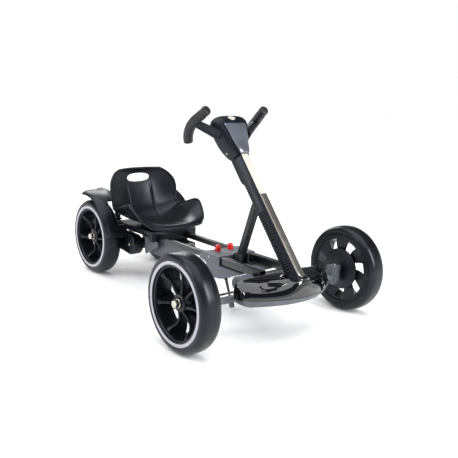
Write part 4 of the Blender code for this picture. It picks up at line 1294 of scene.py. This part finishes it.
def pedal():
    node = "accelerator_pedal"
    low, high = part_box(node)
    half, radius, inset = pedalShape["halfWidth"], pedalShape["radius"], pedalShape["inset"]
    centre = Vector(((low.x + high.x) / 2, high.y - inset, high.z - inset))
    pin = Vector((centre.x, frontAxle + pedalShape["pinBack"], pedalShape["pinHeight"]))
    wide, deep = pedalShape["armHalf"]
    across, armAcross = Vector((half, 0, 0)), Vector((wide, 0, 0))
    roller = [
        (0.0016, 0.0),
        (0.0016, 0.0052),
        (0.0004, 0.0060),
        (0.0, radius - 0.0040),
        (0.0005, radius - 0.0014),
        (0.0020, radius),
        (2 * half - 0.0020, radius),
        (2 * half - 0.0005, radius - 0.0014),
        (2 * half, radius - 0.0040),
        (2 * half, 0.0),
    ]
    eye = [(0, 0.0), (0, 0.0042), (0.0006, 0.0049), (0.0150, 0.0049), (0.0156, 0.0042), (0.0156, 0.0)]
    bm = bmesh.new()
    turned(bm, centre - across, centre + across, roller, 56)
    armLow, armHigh = (pin.x - wide, pin.y - deep, pin.z), (pin.x + wide, pin.y + deep, centre.z - 0.004)
    roundedBox(bm, armLow, armHigh, 0.0012)
    turned(bm, pin - armAcross, pin + armAcross, eye, 28)
    drawNode(node, "pedal_shape", toMesh("pedal", bm, [greyNylon]))
    bm = bmesh.new()
    long = half - 0.003
    roundedBox(bm, (-long, -0.0011, radius - 0.0006), (long, 0.0011, radius + 0.0008), 0.0006, 2)
    fan = {"Count": pedalShape["ribs"], "Step Angle": 2 * math.pi / pedalShape["ribs"]}
    ribs = repeated("pedal_ribs", fanTree, "Blade", bm, greyNylon, fan)
    ribs.transform(Matrix.Translation(centre))
    addTo(node, "pedal_ribs", ribs)


pedal()


# Lock buttons and stand

buttonShape = {"radius": 0.0088, "topRadius": 0.0085, "shoulder": 0.0168, "dome": 0.0070}


def lockButton(label):
    node = f"{label}_lock_button"
    low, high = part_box(node)
    middle = (low + high) / 2
    radius, small, shoulder = buttonShape["radius"], buttonShape["topRadius"], buttonShape["shoulder"]
    profile = [(0, 0.0080), (0.0006, radius), (0.0150, radius), (shoulder, small)]
    for i in range(9):
        a = math.pi / 2 * i / 8
        around = small * math.cos(a) ** 0.8 if i < 8 else 0.0
        profile.append((shoulder + buttonShape["dome"] * math.sin(a), around))
    bm = bmesh.new()
    turned(bm, (middle.x, middle.y, low.z), (middle.x, middle.y, high.z), profile, 40)
    drawNode(node, f"{label}_button_shape", toMesh("button", bm, [redAbs]), 50)


standShape = {"back": 0.204, "height": 0.094, "reach": (0.033, 0.080), "eyeHalf": 0.0070}


def stand():
    pivot = Vector((0, frontAxle + standShape["back"], standShape["height"]))
    lean = math.atan2(*standShape["reach"])
    across = Vector((standShape["eyeHalf"], 0, 0))
    leg = [(0.0, 0.0040), (0.0062, 0.0044), (0.0100, 0.0056)]
    leg += [(0.0120, 0.0044), (0.0700, 0.0035), (0.0725, 0.0034)]
    eye = [(0, 0.0), (0, 0.0050), (0.0007, 0.0057), (0.0133, 0.0057), (0.0140, 0.0050), (0.0140, 0.0)]
    bm = bmesh.new()
    turned(bm, pivot, pivot + Vector((0, -math.sin(lean), -math.cos(lean))), leg, 28)
    turned(bm, pivot - across, pivot + across, eye, 28)
    drawNode("stand_leg", "stand_leg_shape", toMesh("stand_leg", bm, [powderCoat]))


lockButton("left")
lockButton("right")
stand()
print("pedal, buttons and stand made")


# Seat: places are (distance from the middle, forward (-) or back of the rear axle, height)

seatShape = {
    "wall": 0.0055,
    "rows": 84,
    "across": 44,
    "crease": 0.046,
    "creaseDepth": 0.0024,
    "bead": 0.0036,
    "slotHalf": (0.044, 0.0145),
    "slotHeight": 0.325,
    "centre": [
        (0, -0.306, 0.195),
        (0, -0.290, 0.203),
        (0, -0.240, 0.196),
        (0, -0.205, 0.190),
        (0, -0.155, 0.188),
        (0, -0.115, 0.195),
        (0, -0.084, 0.220),
        (0, -0.062, 0.262),
        (0, -0.048, 0.308),
        (0, -0.048, 0.340),
        (0, -0.054, 0.359),
    ],
    "edge": [
        (0.092, -0.294, 0.199),
        (0.117, -0.272, 0.220),
        (0.130, -0.234, 0.256),
        (0.132, -0.205, 0.264),
        (0.131, -0.150, 0.247),
        (0.126, -0.110, 0.235),
        (0.123, -0.093, 0.252),
        (0.126, -0.091, 0.290),
        (0.121, -0.083, 0.320),
        (0.101, -0.068, 0.345),
        (0.078, -0.060, 0.358),
    ],
}


def seatPlaces():
    # rows of points across the shell, from the front edge up to the top of the back
    rows, across, depth = seatShape["rows"], seatShape["across"], seatShape["creaseDepth"]
    middles = smoothRoute(seatShape["centre"], rows)
    edges = smoothRoute(seatShape["edge"], rows)
    places = []
    for i, (middle, rim) in enumerate(zip(middles, edges)):
        share = i / (rows - 1)
        along = (middles[min(i + 1, rows - 1)] - middles[max(i - 1, 0)]).normalized()
        upward = Vector((0, -along.z, along.y))
        strength = step01(share, 0.06, 0.16) * (1 - step01(share, 0.72, 0.82))
        line = []
        for j in range(-across, across + 1):
            t = abs(j) / across
            rise = t**2.4
            x = math.copysign(rim.x * t, j)
            point = Vector((x, mixed(middle.y, rim.y, rise), mixed(middle.z, rim.z, rise)))
            crease = depth * math.exp(-(((abs(x) - seatShape["crease"]) / 0.0024) ** 2))
            line.append(point - upward * crease * strength + Vector((0, rearAxle, 0)))
        places.append(line)
    return places


def sheet(name, places, finish):
    # one layer of faces over rows of points
    bm = bmesh.new()
    grid = [[bm.verts.new(place) for place in line] for line in places]
    for lower, upper in zip(grid, grid[1:]):
        for j in range(len(lower) - 1):
            bm.faces.new((lower[j], lower[j + 1], upper[j + 1], upper[j]))
    mesh = bpy.data.meshes.new(name)
    bm.to_mesh(mesh)
    bm.free()
    mesh.materials.append(finish)
    return mesh


def seat():
    places = seatPlaces()
    piece = looseObject("seat_skin", sheet("seat", places, satinAbs))
    thicken(piece, seatShape["wall"])
    bm = bmesh.new()
    oval = ovalPoints(*seatShape["slotHalf"], 2.3, 56, (0, seatShape["slotHeight"]))
    slot = [[(x, y, z) for x, z in oval] for y in (rearAxle - 0.15, rearAxle + 0.05)]
    skin(bm, slot, capStart=True, capEnd=True)
    cutter = cutAway(piece, bm, satinAbs)
    roundEdges(piece, 0.0022, 3, 50)
    drawNode("seat", "seat_shape", settled(piece), 50)
    bpy.data.objects.remove(cutter)
    # rolled bead round the whole edge, from the middle of the front
    middle = len(places[0]) // 2
    loop = places[0][middle:] + [row[-1] for row in places[1:]]
    loop += list(reversed(places[-1]))[1:] + [row[0] for row in reversed(places[:-1])]
    loop += places[0][1 : middle + 1]
    down = Vector((0, 0, -0.0022))
    ring = [(seatShape["bead"] * math.cos(a), seatShape["bead"] * math.sin(a)) for a in circle(12)]
    bm = bmesh.new()
    sweep(bm, [point + down for point in loop], lambda share: ring)
    addTo("seat", "seat_bead", toMesh("seat_bead", bm, [satinAbs]), 60)


seat()
print("seat made")


# Fenders: arched over the rear wheels, from low in front to the tail

fenderShape = {
    "inner": 0.095,
    "outer": 0.172,
    "wall": 0.004,
    "from": 9,
    "sweep": 108,
    "ribs": 4,
    "ribStep": 6.5,
    "ribHalf": (0.030, 0.0024),
    "crown": [(0.0, 0.005), (0.18, 0.0), (0.6, 0.0), (0.86, -0.004), (1.0, -0.013)],
}


def fenderRadius(along, across):
    radius = wheelRadius + 0.0125 + 0.022 * along**1.3
    lifts = smoothRoute([(share, lift, 0) for share, lift in fenderShape["crown"]], 41)
    lift = min(lifts, key=lambda p: abs(p.x - across)).y
    return radius + lift * math.sqrt(along)


def fenderPlaces(side):
    steps, across = 60, 20
    places = []
    for i in range(steps + 1):
        along = i / steps
        angle = math.radians(fenderShape["from"] + fenderShape["sweep"] * along)
        # the skirt of the outer edge fades to a point at the tail
        outer = fenderShape["outer"] - 0.030 * step01(along, 0.86, 1.0)
        line = []
        for j in range(across + 1):
            r = fenderRadius(along, j / across)
            x = side * mixed(fenderShape["inner"], outer, j / across)
            line.append((x, rearAxle - r * math.cos(angle), wheelRadius + r * math.sin(angle)))
        places.append(line)
    return places


def fender(side, label):
    node = f"{label}_fender"
    mesh = sheet("fender", fenderPlaces(side), satinAbs)
    if side < 0:
        mesh.flip_normals()
    piece = looseObject(f"{node}_skin", mesh)
    thicken(piece, fenderShape["wall"], 1.0)
    middle = side * (fenderShape["inner"] + fenderShape["outer"]) / 2
    low, high = sorted((side * (fenderShape["inner"] - 0.01), middle))
    bm = bmesh.new()
    roundedBox(bm, (low, rearAxle - 0.180, 0.184), (high, rearAxle - 0.070, 0.300), 0.006, 3)
    cutter = cutAway(piece, bm, satinAbs)  # room for the seat
    roundEdges(piece, 0.0011, 2, 50)
    drawNode(node, f"{node}_shape", settled(piece), 40)
    bpy.data.objects.remove(cutter)
    # ribs low on the front face
    wide, tall = fenderShape["ribHalf"]
    r = wheelRadius + 0.0172
    place = Matrix.Rotation(-math.radians(fenderShape["from"] + 5), 4, "X")
    bm = bmesh.new()
    roundedBox(bm, (middle - wide, -r - 0.0012, -tall), (middle + wide, -r + 0.0030, tall), 0.001, 2, place)
    fan = {"Count": fenderShape["ribs"], "Step Angle": -math.radians(fenderShape["ribStep"])}
    ribs = repeated("ribs", fanTree, "Blade", bm, satinAbs, fan)
    ribs.transform(Matrix.Translation((0, rearAxle, wheelRadius)))
    addTo(node, f"{node}_ribs", ribs)


fender(1, "left")
fender(-1, "right")
print("fenders made")


# Pieces whose solids already have the right shape: finish, and the real radius of the edges in mm

roundedPieces = {
    "axle_beam": (greyNylon, 1.4),
    "left_knuckle": (greyNylon, 1.2),
    "right_knuckle": (greyNylon, 1.2),
    "left_kingpin": (zincPlate, 0.8),
    "right_kingpin": (zincPlate, 0.8),
    "tie_rod": (zincPlate, 0.5),
    "left_front_tube": (powderCoat, 1.2),
    "right_front_tube": (powderCoat, 1.2),
    "left_rear_tube": (powderCoat, 1.5),
    "right_rear_tube": (powderCoat, 1.5),
    "clamp_block": (greyNylon, 2.0),
    "stand_foot": (greyNylon, 0.6),
    "column_mount": (darkNylon, 0.8),
    "brace_strut": (darkNylon, 0.8),
    "strut_bracket": (darkNylon, 0.6),
    "steering_shaft": (zincPlate, 0.4),
    "seat_base": (satinAbs, 1.5),
    "left_axle_plate": (greyNylon, 0.6),
    "right_axle_plate": (greyNylon, 0.6),
    "rear_axle": (zincPlate, 0.6),
    "gearbox_housing": (satinAbs, 0.8),
    "drive_motor": (powderCoat, 1.0),
    "battery_box": (greyNylon, 0.9),
    "battery": (satinAbs, 1.5),
    "rear_deck": (darkNylon, 1.2),
}
for node, (finish, edge) in roundedPieces.items():
    refined(node, finish, edge)
print("other solids rounded")

# Screws: two in the axle plate, one in each side of the clamp block and one in its top
plateScrews = [(-0.0942, -0.150, 0.1185), (-0.0942, -0.075, 0.1240)]  # from the rear axle
addScrews("rear_frame", [((x, rearAxle + y, z), (-1, 0, 0)) for x, y, z in plateScrews])
clampLow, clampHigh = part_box("clamp_block")
clampScrews = [
    ((clampLow.x, -0.176, 0.163), (-1, 0, 0)),
    ((clampHigh.x, -0.176, 0.163), (1, 0, 0)),
    ((0.0, -0.205, clampHigh.z), (0, 0, 1)),
]
addScrews("chassis", clampScrews, 0.9)
bpy.data.objects.remove(screwModel)
print("screws placed")
